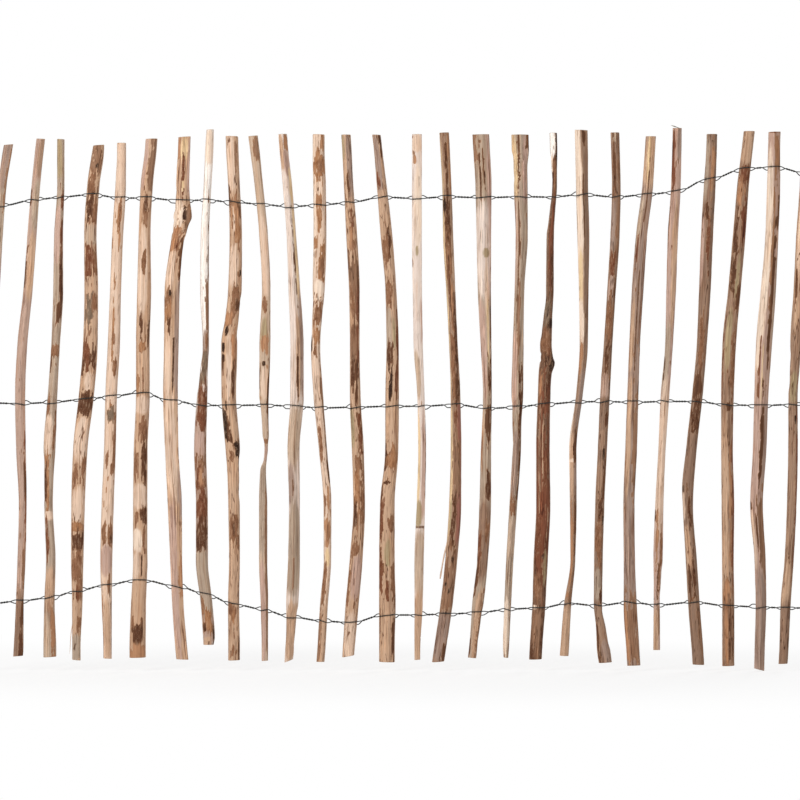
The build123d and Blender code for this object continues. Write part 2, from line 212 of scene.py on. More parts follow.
# Looks of the pickets: wood tone of the front, tone of the bark, share of the front and of the back
# that random bark covers, contrast of the streaks. Then the marks on the front: tone, first and
# last row, left and right edge across the picket, from -1 to 1.
LOOKS = {
    "picket_01": ("grey", "bark", 0.04, 0.5, 0.7, (
        ("mauve", 135, 190, -1.3, 1.3), ("brown", 150, 215, 0.5, 1.2), ("tan", 330, 380, -1, 0.2),
    )),
    "picket_02": ("clay", "bark", 0.03, 0.5, 0.7, (
        ("drab", 138, 178, -0.2, 1.3), ("umber", 190, 205, -1.2, -0.6), ("grey", 180, 232, -0.4, 1.2),
        ("umber", 252, 292, -1.2, -0.65), ("tan", 232, 300, -0.6, 1), ("red", 440, 545, 0.5, 0.95),
        ("umber", 462, 500, 0.45, 0.9), ("brown", 545, 590, 0.3, 1), ("umber", 588, 602, -1, 0.2),
        ("dun", 590, 664, -1.3, 1.3), ("umber", 600, 628, 0.2, 1.0), ("dark_bark", 630, 660, 0.0, 0.75),
    )),
    "picket_03": ("grey", "bark", 0.05, 0.1, 0.8, (
        ("olive", 136, 178, -1.2, 0.5), ("red_bark", 190, 212, 0.3, 1.2), ("rosy", 205, 262, -1, 0.4),
        ("red_bark", 218, 262, 0.45, 0.95), ("dark_bark", 256, 322, 0.25, 0.9),
        ("umber", 300, 326, -0.2, 0.6), ("bark", 345, 357, -1.2, 1.2), ("umber", 356, 372, -1.2, -0.6),
        ("bark", 396, 416, -1.1, -0.3), ("bark", 412, 452, 0.55, 1.2), ("pale", 415, 456, -1, 0.4),
        ("thin_bark", 457, 512, -1.1, 0.15), ("dark_bark", 466, 505, -1.0, -0.4),
        ("pale", 511, 520, -1.2, 1.2), ("red_bark", 521, 566, -0.9, -0.15), ("tan", 566, 612, -1, 1),
        ("orange", 600, 660, 0.2, 1), ("beige", 612, 660, -1, 0.1),
    )),
    "picket_04": ("tan", "bark", 0.12, 0.1, 0.6, (
        ("brown", 144, 174, -1.2, 1.2), ("knot", 163, 169, 0.05, 0.3), ("bark", 172, 200, -0.7, 0.35),
        ("dark_bark", 192, 226, -0.75, 0.4), ("bark", 196, 226, 0.3, 1.1), ("beige", 224, 246, -1, 1),
        ("red_bark", 243, 275, -0.95, 0.6), ("bark", 250, 276, 0.5, 1),
        ("grey_bark", 293, 326, -0.8, 0.3), ("bark", 297, 312, 0.2, 0.9),
        ("red_bark", 336, 372, -1.2, 0.1), ("dark_bark", 344, 372, 0.1, 0.9),
        ("dark_bark", 360, 376, -1.2, -0.5), ("pale", 372, 392, -0.3, 0.8),
        ("dark_bark", 392, 417, -1.1, 1.1), ("pale", 417, 462, -0.9, 0.9),
        ("bark", 464, 488, -0.8, -0.2), ("bark", 458, 476, 0.35, 0.9), ("pale", 488, 522, -1, 1),
        ("thin_bark", 522, 532, -1.1, 1.1), ("dark_bark", 532, 552, -0.9, 1.1),
        ("bark", 550, 580, -0.9, 0.8), ("bark", 580, 602, -0.1, 0.9), ("red_bark", 588, 602, -0.3, 0.3),
        ("bark", 614, 634, 0.1, 0.8), ("grey", 634, 662, -1.2, 1.2),
    )),
    "picket_05": ("pale", "thin_bark", 0.05, 0.1, 0.5, (
        ("thin_bark", 200, 234, -0.1, 0.55), ("bark", 204, 230, 0.0, 0.35),
        ("orange", 234, 246, 0.1, 0.6), ("thin_bark", 292, 372, -0.35, -0.05),
        ("bark", 330, 346, -0.3, 0.1), ("bark", 360, 378, 0.1, 0.6), ("grey_bark", 406, 424, -0.5, 0.6),
        ("bark", 416, 474, 0.55, 1.1), ("bark", 450, 468, -0.6, -0.1), ("bark", 460, 476, 0.2, 0.8),
        ("bark", 518, 546, -0.8, -0.1), ("bark", 524, 548, 0.2, 1.1), ("dark_bark", 534, 544, 0.5, 1.1),
        ("rosy", 546, 576, -1, 1), ("bark", 574, 592, 0.2, 0.8), ("grey_bark", 586, 598, 0.5, 0.8),
        ("orange", 604, 660, -1.2, -0.7), ("umber", 600, 660, 0.8, 1.2), ("tan", 600, 660, -0.6, 0.7),
    )),
    "picket_06": ("tan", "bark", 0.08, 0.1, 0.6, (
        ("rosy", 136, 190, -1, -0.3), ("brown", 136, 190, 0.1, 1.1), ("bark", 194, 228, -0.35, 0.45),
        ("dark_bark", 196, 214, -0.2, 0.3), ("pale", 228, 316, -0.9, 0.5),
        ("bark", 250, 274, -0.35, 0.25), ("dark_bark", 316, 340, -0.45, 0.0),
        ("umber", 318, 344, 0.7, 1.2), ("thin_bark", 342, 352, -0.6, 0.5), ("bark", 368, 392, -0.1, 0.2),
        ("thin_bark", 376, 396, -0.9, -0.5), ("pale", 396, 414, -1, 1), ("bark", 414, 444, -0.2, 0.9),
        ("dark_bark", 440, 484, 0.15, 0.9), ("bark", 450, 478, -0.85, -0.3), ("pale", 484, 508, -1, 1),
        ("dark_bark", 508, 525, 0.0, 0.9), ("bark", 512, 524, -0.8, -0.2), ("bark", 524, 548, 0.45, 0.7),
        ("cream", 528, 552, -1, 0.3), ("crack", 552, 578, 0.15, 0.32), ("pale", 552, 580, -1, 0),
        ("bark", 616, 632, -0.75, -0.4), ("bark", 612, 632, 0.3, 0.6),
        ("dark_bark", 624, 644, -0.6, 0.6), ("orange", 646, 662, -1.2, 1.2), ("tan", 582, 616, -1, 1),
    )),
    "picket_07": ("tan", "bark", 0.05, 0.5, 1.1, (
        ("orange", 138, 162, -1.1, -0.6), ("golden", 138, 160, -0.5, 0.6),
        ("red_bark", 156, 200, -0.2, 0.3), ("golden", 180, 192, -0.15, 0.15),
        ("rosy", 138, 200, 0.6, 1.2), ("cream", 200, 232, -1.2, 0.1), ("crack", 202, 224, 0.1, 0.4),
        ("brown", 200, 236, 0.45, 1.2), ("orange", 228, 256, -1.1, 0.1),
        ("red_bark", 236, 250, -0.1, 0.2), ("umber", 236, 290, 0.55, 1.0), ("pale", 250, 290, -1, 0.2),
        ("bark", 288, 312, -1.1, -0.2), ("knot", 290, 296, -0.45, -0.1), ("thin_bark", 302, 320, -1, 0),
        ("dark_bark", 318, 336, -0.55, -0.1), ("pale", 336, 400, -1, 0.0),
        ("mauve", 280, 400, 0.35, 1.2), ("crack", 340, 404, 0.22, 0.4), ("pale", 396, 500, -1, 0.7),
        ("rosy", 500, 660, -1, 0.3), ("brown", 486, 526, 0.6, 1.1), ("mauve", 470, 520, 0.5, 1.1),
        ("orange", 560, 600, 0.4, 1), ("tan", 600, 662, 0.2, 1.1),
    )),
    "picket_08": ("white", "bark", 0.0, 0.1, 0.5, (
        ("clay", 368, 680, -1.5, 1.5), ("grey", 545, 620, -1.3, 1.3), ("cream", 128, 165, -1, 1),
        ("umber", 216, 290, 0.75, 1.3), ("brown", 276, 345, 0.15, 1.2), ("mauve", 330, 372, -1.1, 1.2),
        ("bark", 335, 350, -0.2, 0.8), ("grey_bark", 352, 388, -0.9, 0.8),
        ("red_bark", 386, 432, -0.8, 1.1), ("rosy", 432, 456, -1, 1), ("brown", 432, 470, 0.7, 1.2),
        ("bark", 454, 492, -1, 0.6), ("red_bark", 462, 484, -0.9, 0.2), ("orange", 470, 486, -0.3, 0.3),
        ("red_bark", 490, 522, -1.2, 1.2), ("dark_bark", 521, 552, -1.1, 0.9),
        ("grey", 554, 600, -1.2, 1.2), ("bark", 596, 616, -0.9, -0.3),
        ("thin_bark", 612, 634, -0.8, 0.7), ("dark_bark", 622, 632, -0.8, -0.3),
        ("knot", 624, 648, 0.7, 1.3), ("tan", 636, 656, -0.9, 0.6), ("crack", 640, 650, -0.05, 0.15),
    )),
    "picket_09": ("tan", "bark", 0.16, 0.1, 0.8, (
        ("pale", 134, 190, -1, 0.4), ("brown", 138, 176, 0.3, 0.7), ("dark_bark", 188, 206, -1.1, -0.6),
        ("dark_bark", 200, 220, 0.2, 1.0), ("orange", 200, 244, -0.6, 0.7),
        ("pale", 206, 238, -0.4, -0.1), ("thin_bark", 222, 246, 0.0, 0.8), ("pale", 244, 288, -0.9, 0.4),
        ("knot", 270, 276, 0.6, 0.9), ("bark", 288, 316, -0.4, 0.9), ("dark_bark", 300, 312, 0.3, 1.0),
        ("orange", 312, 326, -1, 0), ("knot", 326, 336, -0.65, -0.25), ("knot", 342, 352, -0.9, -0.5),
        ("knot", 354, 364, -0.95, -0.55), ("pale", 330, 404, -0.3, 0.3), ("orange", 330, 372, 0.35, 1),
        ("dark_bark", 358, 372, -1.1, -0.6), ("dark_bark", 366, 400, 0.35, 0.7),
        ("knot", 406, 438, -1.1, -0.35), ("dark_bark", 426, 444, -0.5, 0.2),
        ("knot", 440, 458, 0.25, 1.15), ("bark", 448, 464, -0.4, 0.4), ("tan", 464, 512, -1.1, 1.1),
        ("bark", 512, 538, -0.7, 0.8), ("dark_bark", 520, 534, -0.3, 0.2), ("bark", 534, 550, 0.5, 0.9),
        ("tan", 548, 604, -1, 1), ("bark", 604, 618, -0.7, 0.4), ("thin_bark", 612, 624, -0.2, 0.2),
        ("umber", 640, 664, 0.7, 1.2),
    )),
    "picket_10": ("beige", "thin_bark", 0.08, 0.2, 0.6, (
        ("brown", 136, 160, -0.2, 1), ("beige", 165, 230, -1, 1), ("pale", 215, 296, -0.9, 0.9),
        ("bark", 296, 312, -0.9, 0.2), ("olive", 318, 350, -0.8, 0.4), ("orange", 336, 352, -0.9, 0.6),
        ("knot", 361, 366, -0.5, 0.2), ("umber", 366, 386, -1.3, -0.8), ("pale", 368, 400, -0.7, 0.8),
        ("umber", 370, 430, 0.6, 1.2), ("bark", 439, 444, -1.2, 1.2), ("rosy", 445, 462, -1.2, 1.2),
        ("grey", 462, 560, -1.2, 1.2), ("brown", 500, 660, 0.4, 1.2), ("rosy", 560, 664, -1, 0.4),
    )),
    "picket_11": ("ash", "bark", 0.03, 0.5, 0.7, (
        ("orange", 134, 152, 0.0, 1.1), ("tan", 134, 170, -1, 0), ("rosy", 150, 176, -0.3, 0.9),
        ("golden", 168, 205, 0.4, 1), ("ash", 200, 400, -1.2, 0.2), ("umber", 214, 300, 0.2, 0.42),
        ("golden", 205, 300, 0.45, 0.9), ("mauve", 290, 404, 0.5, 1.2), ("tan", 310, 404, -0.1, 0.5),
        ("umber", 364, 408, 0.0, 0.25), ("crack", 410, 450, -0.2, 0.0), ("crack", 408, 436, 0.35, 0.5),
        ("crack", 412, 440, -0.6, -0.45), ("beige", 404, 470, -1, 1), ("mauve", 462, 510, -1, 0.0),
        ("grey", 500, 600, -1.2, 1.2), ("umber", 478, 494, -0.3, -0.1), ("brown", 560, 590, -0.2, 0.1),
        ("tan", 600, 664, -1.2, 1.2),
    )),
    "picket_12": ("pale", "thin_bark", 0.1, 0.1, 0.6, (
        ("cream", 134, 290, -1.2, -0.7), ("orange", 136, 152, 0.2, 0.9),
        ("thin_bark", 151, 178, -0.85, 0.8), ("bark", 160, 174, -0.2, 0.5),
        ("knot", 187, 192, -0.3, -0.1), ("thin_bark", 194, 208, -0.5, 0.4),
        ("thin_bark", 208, 232, -0.4, 0.3), ("thin_bark", 236, 248, -0.9, -0.3),
        ("thin_bark", 250, 284, -0.2, 1.0), ("bark", 258, 280, 0.2, 0.9), ("cream", 280, 300, -0.8, 0.8),
        ("bark", 300, 326, -0.7, 1.0), ("thin_bark", 326, 344, -0.6, 0.7),
        ("knot", 338, 352, -1.25, -0.7), ("bark", 346, 360, -0.5, 0.3), ("pale", 356, 410, -1.1, 0.5),
        ("brown", 366, 430, 0.55, 1.2), ("bark", 430, 458, -0.8, 0.1), ("umber", 440, 484, 0.6, 1.2),
        ("knot", 476, 484, 0.9, 1.3), ("orange", 486, 514, 0.0, 0.8), ("bark", 496, 514, -0.8, -0.3),
        ("orange", 520, 548, -0.6, 0.8), ("bark", 526, 542, -0.1, 0.3), ("golden", 548, 566, -0.6, 0.6),
        ("bark", 562, 608, -0.9, 0.0), ("tan", 604, 668, -1.2, 1.2), ("brown", 606, 664, -1.2, -0.4),
    )),
    "picket_13": ("tan", "bark", 0.12, 0.1, 0.8, (
        ("olive", 134, 160, -1.2, -0.5), ("mauve", 134, 200, -0.2, 1), ("umber", 172, 196, -0.3, 0.1),
        ("red_bark", 208, 230, 0.0, 0.5), ("orange", 228, 250, -0.5, 0.3), ("bark", 238, 250, 0.0, 0.5),
        ("dark_bark", 252, 276, -1.1, -0.6), ("brown", 256, 318, -0.9, 1), ("umber", 262, 326, 0.6, 1.2),
        ("bark", 290, 312, -0.6, 0.2), ("red", 300, 372, 0.3, 0.8), ("brown", 320, 372, -1, 0.4),
        ("dark_bark", 360, 392, -0.8, -0.2), ("umber", 360, 408, 0.0, 0.6),
        ("olive", 408, 448, -1.1, -0.4), ("red_bark", 414, 456, 0.2, 0.9), ("bark", 456, 470, -0.6, 0.6),
        ("orange", 462, 530, -0.3, 0.1), ("dark_bark", 496, 530, -0.9, -0.3),
        ("bark", 480, 530, 0.2, 0.9), ("thin_bark", 470, 500, -0.8, 0.0), ("bark", 540, 556, -0.8, 0.2),
        ("rosy", 556, 600, -0.6, 1), ("bark", 572, 606, -0.95, -0.55), ("pale", 612, 662, -0.9, 0.9),
    )),
    "picket_14": ("tan", "bark", 0.12, 0.1, 0.8, (
        ("mauve", 134, 200, -0.9, 0.3), ("red", 172, 190, -0.9, -0.3), ("umber", 134, 160, 0.3, 1.1),
        ("tan", 190, 226, -0.9, 0.6), ("dark_bark", 222, 256, 0.0, 0.6), ("bark", 232, 270, -0.8, 0.1),
        ("tan", 262, 284, -0.5, 0.4), ("bark", 280, 306, -0.8, 0.5), ("grey", 306, 372, -1.1, -0.1),
        ("red_bark", 304, 360, 0.6, 1.15), ("olive", 318, 350, 0.0, 0.5),
        ("dark_bark", 342, 372, -0.9, 0.1), ("knot", 364, 402, -0.5, 0.1),
        ("red_bark", 362, 398, 0.4, 0.9), ("tan", 362, 404, -1.1, -0.6), ("tan", 406, 444, -0.8, 0.9),
        ("dark_bark", 444, 472, -1.1, -0.6), ("thin_bark", 448, 470, -0.4, 0.9),
        ("dark_bark", 481, 484, -0.8, 0.3), ("dark_bark", 484, 500, -1.1, -0.75),
        ("tan", 484, 560, -0.6, 0.9), ("red_bark", 500, 540, -1.1, -0.5), ("bark", 514, 532, 0.2, 0.8),
        ("olive", 540, 566, -0.3, 0.5), ("red_bark", 548, 594, -1.1, -0.55),
        ("bark", 560, 600, 0.4, 1.1), ("red_bark", 584, 604, -0.3, 0.3),
        ("thin_bark", 600, 640, -0.8, -0.2), ("tan", 600, 668, -1.2, 0.6), ("umber", 604, 664, 0.6, 1.2),
        ("brown", 610, 664, -1.2, -0.8),
    )),
    "picket_15": ("ash", "thin_bark", 0.0, 0.35, 0.5, (
        ("brown", 136, 156, -0.9, -0.4), ("pale", 134, 152, -1, 1), ("orange", 156, 164, -0.6, -0.1),
        ("cream", 165, 248, -0.6, 1), ("olive", 246, 256, -0.3, 0.3), ("brown", 258, 268, -1.1, -0.8),
        ("ash", 260, 345, -1, 0.3), ("rosy", 300, 345, 0.6, 1), ("beige", 352, 400, -1.1, 0.2),
        ("rosy", 412, 520, 0.0, 0.9), ("golden", 412, 520, -1.1, -0.4),
        ("peat", 525.6, 528.4, -1.3, 1.0), ("olive", 500, 527, -1.1, 0.3),
        ("beige", 531, 600, -1.1, 1.1), ("tan", 590, 668, -1.1, 1.1), ("umber", 418, 500, 0.85, 1.2),
    )),
    "picket_16": ("drab", "bark", 0.15, 0.15, 0.9, (
        ("golden", 130, 400, -1.3, -0.72), ("dark_bark", 134, 200, -0.2, 0.3),
        ("orange", 134, 190, 0.5, 1.2), ("knot", 198, 214, -0.85, -0.2),
        ("dark_bark", 204, 250, -0.5, 0.5), ("bark", 240, 300, -0.6, 0.4), ("tan", 230, 300, 0.5, 1.2),
        ("umber", 260, 320, -0.4, 0.0), ("orange", 280, 340, -0.1, 0.6),
        ("dark_bark", 304, 372, 0.2, 0.9), ("bark", 330, 404, -0.6, 0.4),
        ("dark_bark", 364, 410, 0.0, 0.8), ("red_bark", 410, 434, -0.2, 0.7),
        ("golden", 402, 540, -1.4, -0.6), ("plum", 400, 545, 0.05, 1.4), ("brown", 434, 496, -0.5, 0.8),
        ("dark_bark", 494, 545, -0.5, 0.2), ("olive", 500, 530, -0.8, -0.5),
        ("umber", 545, 570, 0.0, 0.6), ("knot", 556, 560, 0.0, 0.5), ("brown", 560, 612, -1, 1),
        ("knot", 582, 586, -0.7, -0.4), ("knot", 588, 593, 0.0, 0.3), ("mauve", 612, 664, -1.2, 1.2),
        ("umber", 640, 664, 0.3, 1.2),
    )),
    "picket_17": ("grey", "bark", 0.05, 0.5, 1.3, (
        ("brown", 134, 160, -1.2, -0.6), ("umber", 136, 256, -0.35, -0.2),
        ("umber", 140, 230, 0.0, 0.12), ("rosy", 134, 300, 0.4, 1.1), ("crack", 150, 200, 0.2, 0.3),
        ("ash", 200, 300, -1, 0.7), ("pale", 250, 345, 0.1, 0.6), ("olive", 248, 258, -0.1, 0.7),
        ("umber", 262, 404, 0.78, 1.3), ("rosy", 300, 404, -1.1, 0.1), ("golden", 300, 372, 0.3, 0.6),
        ("dark_bark", 362, 400, 0.1, 0.9), ("umber", 404, 440, -0.3, 0.9), ("tan", 404, 470, -1.1, -0.5),
        ("dark_bark", 470, 502, 0.0, 0.9), ("knot", 502, 526, -0.35, 0.25), ("bark", 524, 540, 0.2, 0.7),
        ("dun", 500, 580, -1.2, 1.2), ("bark", 524, 545, 0.2, 0.8), ("red_bark", 532, 568, -1.1, -0.35),
        ("umber", 560, 600, -1.1, -0.6), ("tan", 590, 660, -0.5, 0.9), ("brown", 596, 664, 0.5, 1.2),
        ("umber", 636, 664, -1.2, -0.7),
    )),
    "picket_18": ("grey", "bark", 0.03, 0.5, 1.2, (
        ("golden", 132, 200, -1.2, -0.35), ("umber", 136, 196, -0.4, -0.15),
        ("rosy", 132, 205, 0.2, 0.9), ("umber", 132, 150, 0.5, 1.2), ("umber", 150, 200, 0.9, 1.2),
        ("rosy", 200, 290, -1.1, -0.6), ("umber", 200, 330, -0.5, -0.2), ("grey", 230, 290, 0.4, 1),
        ("brown", 290, 372, -0.3, 0.3), ("rosy", 330, 410, -1.2, -0.1),
        ("dark_bark", 374, 446, 0.25, 1.0), ("mauve", 430, 500, -1.2, 0.5),
        ("umber", 440, 500, 0.5, 1.1), ("bark", 496, 517, -0.9, 0.5), ("beige", 517, 560, -1.1, 1.1),
        ("grey", 556, 604, -1.1, 1.1), ("cream", 600, 660, -1.3, 0.6), ("brown", 600, 662, 0.75, 1.3),
    )),
    "picket_19": ("peat", "dark_bark", 0.25, 0.2, 1.2, (
        ("white", 130, 158, -1.3, 0.45), ("cream", 156, 172, -1.3, -0.4), ("knot", 132, 170, 0.6, 1.3),
        ("bark", 160, 200, -0.4, 0.7), ("red", 200, 300, -0.2, 0.9), ("dun", 200, 290, -1.2, -0.6),
        ("dark_bark", 240, 292, 0.1, 0.7), ("grey_bark", 292, 330, -0.9, 0.4),
        ("crack", 306, 320, -0.3, 0.0), ("knot", 318, 328, 0.3, 1.0), ("bark", 330, 358, -0.8, 0.6),
        ("knot", 358, 372, 0.2, 1.25), ("crack", 352, 366, -0.3, -0.1), ("crack", 356, 368, 0.1, 0.25),
        ("orange", 372, 404, -0.9, -0.4), ("dark_bark", 372, 404, 0.3, 1.1),
        ("red", 404, 600, -1.4, 1.4), ("peat", 400, 500, -0.45, -0.28), ("tan", 404, 520, -0.68, -0.50),
        ("tan", 412, 500, -0.2, -0.06), ("peat", 420, 560, 0.16, 0.30), ("orange", 412, 500, 0.32, 0.45),
        ("red_bark", 458, 492, -0.1, 0.4), ("tan", 480, 566, 0.48, 0.62), ("olive", 548, 586, 0.3, 0.8),
        ("knot", 554, 559, 0.1, 0.4), ("knot", 558, 566, -1.2, -0.85),
        ("red_bark", 520, 556, -0.9, -0.1), ("bark", 574, 600, -1, 0.1), ("cream", 605, 609, -1.1, -0.1),
        ("brown", 609, 660, -1, 0.8), ("dark_bark", 620, 662, 0.5, 1.2),
        ("dark_bark", 640, 662, -1.1, -0.3),
    )),
    "picket_20": ("drab", "bark", 0.04, 0.5, 0.6, (
        ("cream", 122, 310, -1.5, 0.0), ("umber", 130, 145, 0.1, 0.6), ("dun", 150, 330, 0.15, 1.4),
        ("umber", 170, 250, 0.1, 0.3), ("golden", 250, 310, -0.9, -0.2), ("cream", 300, 345, -1.2, 0.0),
        ("orange", 345, 372, -1, -0.2), ("mauve", 370, 430, -0.4, 1.2), ("cream", 404, 500, -1.4, -0.7),
        ("tan", 432, 500, -0.8, 0.2), ("mauve", 432, 500, 0.3, 1.2), ("cream", 459, 462, -1, 0.8),
        ("umber", 426, 462, 0.1, 1.3), ("umber", 500, 560, 0.3, 0.8), ("orange", 510, 600, -0.9, 0.2),
        ("brown", 560, 612, 0.0, 1.1), ("tan", 604, 662, -1.2, 1.2),
    )),
    "picket_21": ("dun", "bark", 0.15, 0.1, 0.8, (
        ("grey", 132, 142, -0.9, 0.4), ("umber", 134, 200, -0.7, -0.1), ("brown", 140, 250, 0.2, 1.2),
        ("mauve", 200, 254, -1, -0.1), ("red_bark", 253, 278, -0.8, 0.4), ("clay", 276, 302, -0.9, 0.3),
        ("umber", 276, 302, 0.4, 1), ("bark", 300, 345, -0.8, 0.6), ("dark_bark", 340, 374, -0.5, 0.4),
        ("clay", 374, 400, -1, 0.6), ("dun", 396, 420, -0.9, 0.4), ("dark_bark", 410, 430, 0.3, 1),
        ("drab", 430, 450, -1, 0.6), ("knot", 446, 460, 0.0, 0.6), ("umber", 460, 500, 0.4, 0.9),
        ("drab", 460, 500, -1, 0.2), ("dark_bark", 498, 528, -0.4, 0.6), ("knot", 516, 526, 0.3, 0.9),
        ("bark", 526, 568, -0.8, 0.8), ("grey", 568, 600, -0.9, 0.6), ("dark_bark", 590, 604, 0.3, 0.9),
        ("drab", 604, 664, -0.8, 1), ("umber", 620, 664, -1.2, -0.6), ("mauve", 640, 664, -0.5, 1.2),
    )),
    "picket_22": ("mauve", "bark", 0.05, 0.5, 1.4, (
        ("tan", 134, 190, -1.1, 1.1), ("golden", 134, 180, -0.5, 0.1), ("umber", 170, 230, 0.0, 0.15),
        ("grey", 200, 250, -1, -0.2), ("red", 234, 262, -0.8, -0.4), ("tan", 300, 372, -0.9, -0.2),
        ("umber", 260, 372, 0.0, 0.2), ("umber", 372, 396, 0.85, 1.3), ("tan", 376, 500, -0.9, -0.1),
        ("brown", 400, 500, 0.3, 1.0), ("mauve", 500, 600, -1.1, 1.1), ("brown", 600, 664, -1.1, 1.1),
        ("orange", 612, 664, -1.1, -0.5),
    )),
    "picket_23": ("rosy", "bark", 0.03, 0.5, 0.8, (
        ("red", 130, 190, -1.1, -0.4), ("umber", 138, 162, -1.3, -0.8), ("mauve", 128, 160, 0.0, 1.2),
        ("umber", 200, 256, -1.3, -0.8), ("tan", 200, 330, -0.1, 0.9), ("grey", 320, 400, -1.1, 0.3),
        ("crack", 360, 382, -0.95, -0.7), ("pale", 380, 540, -1.1, 1.1), ("orange", 508, 560, -0.6, 0.0),
        ("umber", 508, 524, -1.3, -0.7), ("bark", 534, 602, 0.3, 0.8), ("umber", 560, 610, -0.2, 0.2),
        ("brown", 600, 640, 0.2, 1.1), ("tan", 610, 660, -1.1, 0.4),
    )),
    "picket_24": ("dun", "bark", 0.12, 0.1, 0.8, (
        ("grey", 134, 200, -1.1, -0.4), ("orange", 140, 190, 0.0, 0.6),
        ("dark_bark", 200, 218, -0.5, 0.1), ("red_bark", 208, 276, 0.0, 0.5),
        ("rosy", 218, 290, -1.1, -0.5), ("umber", 286, 316, -0.8, 0.2), ("dun", 280, 345, -1.1, 1.1),
        ("bark", 320, 372, -0.6, 0.3), ("umber", 372, 400, -1, 0.6), ("dark_bark", 397, 434, -0.8, 0.8),
        ("dun", 434, 486, -1.1, 0.9), ("knot", 485, 493, -1.3, -0.6), ("dark_bark", 492, 530, -0.3, 0.6),
        ("pale", 492, 520, -1.2, -0.6), ("tan", 524, 570, -1.0, 0.1), ("dark_bark", 545, 608, 0.1, 0.5),
        ("umber", 560, 612, -0.7, -0.3), ("dun", 600, 668, -1.2, 1.2), ("brown", 604, 664, 0.4, 1.1),
    )),
    "picket_25": ("drab", "bark", 0.12, 0.1, 0.9, (
        ("tan", 130, 165, -1.1, 1.1), ("red_bark", 164, 186, -0.8, 1.0), ("orange", 180, 205, -0.9, 0.2),
        ("dark_bark", 210, 256, -0.9, -0.2), ("red", 205, 240, 0.2, 0.9), ("olive", 256, 300, 0.0, 0.5),
        ("dark_bark", 250, 292, -0.8, -0.1), ("umber", 280, 310, 0.3, 0.9),
        ("olive", 310, 372, -0.7, 0.2), ("red", 320, 404, -1.2, -0.8), ("bark", 330, 400, 0.2, 1.1),
        ("umber", 402, 412, -0.4, 0.6), ("tan", 412, 560, -1.0, 0.1), ("red", 440, 580, 0.5, 1.1),
        ("orange", 450, 560, 0.2, 0.6), ("tan", 520, 612, -1.0, 0.0), ("orange", 580, 612, -0.8, 0.4),
        ("brown", 606, 664, -1.1, 1.1), ("dark_bark", 606, 664, 0.0, 0.35),
        ("orange", 612, 664, -0.6, -0.1), ("umber", 606, 664, 0.8, 1.2),
    )),
    "picket_26": ("rosy", "bark", 0.04, 0.5, 0.8, (
        ("orange", 130, 175, 0.1, 0.9), ("red", 129, 133, -1.1, 1.1), ("cream", 150, 345, -1.2, 0.0),
        ("orange", 190, 300, 0.0, 0.3), ("umber", 176, 258, 0.65, 1.0), ("umber", 240, 372, 0.3, 0.75),
        ("grey", 246, 372, 0.75, 1.2), ("cream", 300, 372, -1.2, -0.5), ("red", 345, 404, -0.5, -0.3),
        ("golden", 345, 404, -0.2, 0.0), ("umber", 385, 492, 0.0, 0.45), ("rosy", 404, 500, -1.2, -0.3),
        ("mauve", 404, 500, 0.5, 1.2), ("umber", 498, 512, -1.3, -0.8), ("brown", 500, 600, 0.0, 1.1),
        ("pale", 512, 570, -0.9, -0.5), ("umber", 510, 560, -0.3, 0.0), ("mauve", 570, 672, -1.1, 1.1),
        ("umber", 600, 674, 0.85, 1.3),
    )),
    "picket_27": ("drab", "bark", 0.1, 0.1, 1.1, (
        ("tan", 130, 330, -1.1, 0.6), ("pale", 190, 270, -0.8, -0.1), ("umber", 270, 300, -0.8, -0.4),
        ("olive", 372, 404, -0.8, 0.6), ("knot", 414, 424, 0.2, 0.6), ("drab", 404, 560, -0.9, 0.4),
        ("red", 404, 560, 0.6, 1.1), ("umber", 556, 572, -0.5, 0.0), ("tan", 560, 612, -0.9, 0.5),
        ("dun", 600, 668, -1.2, 1.2),
    )),
}

# Splinters that stand off a picket's left side: row, then in metres how far the middle lies
# outside that side, width and depth
SPLINTERS = {
    "picket_04": (
        (623, -0.0015, 0.0026, 0.003), (636, 0.0028, 0.0022, 0.0025),
        (648, 0.0044, 0.0019, 0.002), (654, 0.0056, 0.0009, 0.001),
    ),
    "picket_16": (
        (526, -0.0040, 0.0040, 0.0035), (540, -0.0025, 0.0046, 0.0035), (554, 0.0024, 0.0042, 0.003),
        (566, 0.0054, 0.0038, 0.003), (575, 0.0068, 0.0044, 0.0025), (579, 0.0073, 0.0026, 0.001),
    ),
}

# Sliver torn up across one picket's top: distance from the top's left corner, rise above the top,
# thickness and depth, in metres
TORN_PICKET = "picket_23"
TORN_SLIVER = (
    (0.0160, 0.0000, 0.0012, 0.005), (0.0090, 0.0022, 0.0024, 0.005), (0.0030, 0.0042, 0.0030, 0.004),
    (-0.0010, 0.0054, 0.0020, 0.003), (-0.0044, 0.0066, 0.0007, 0.0014),
)


def linear_colour(tone):
    """Return a tone given as red, green and blue from 0 to 255 as linear light."""
    shares = np.array(tone) / 255
    return np.where(shares <= 0.04045, shares / 12.92, ((shares + 0.055) / 1.055) ** 2.4)


def row_height(row):
    """Return the height above the ground of a row of the photograph."""
    return (GROUND_ROW - row) * PIXEL


def smooth_step(low, high, value):
    """Return 0 below low, 1 above high and a smooth rise between them."""
    share = np.clip((value - low) / (high - low), 0, 1)
    return share * share * (3 - 2 * share)


def noise_at(points):
    """Return smooth noise from -1 to 1 at each point."""
    return np.array([noise.noise(point) for point in points.tolist()])


# Reading the frame

def number_of(node):
    """Return a picket's number along the fence."""
    return int(node[-2:])


def corners_of(node):
    """Return the different corners of a CAD node, sorted by height."""
    corners = np.array([v.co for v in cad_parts[node].data.vertices])
    corners = np.unique(np.round(corners, 6), axis=0)
    return corners[np.argsort(corners[:, 2])]


def in_turn(ring):
    """Return a ring's corners anticlockwise as seen from above."""
    centre = ring[:, :2].mean(0)
    return ring[np.argsort(np.arctan2(*(ring[:, :2] - centre).T[::-1]))]


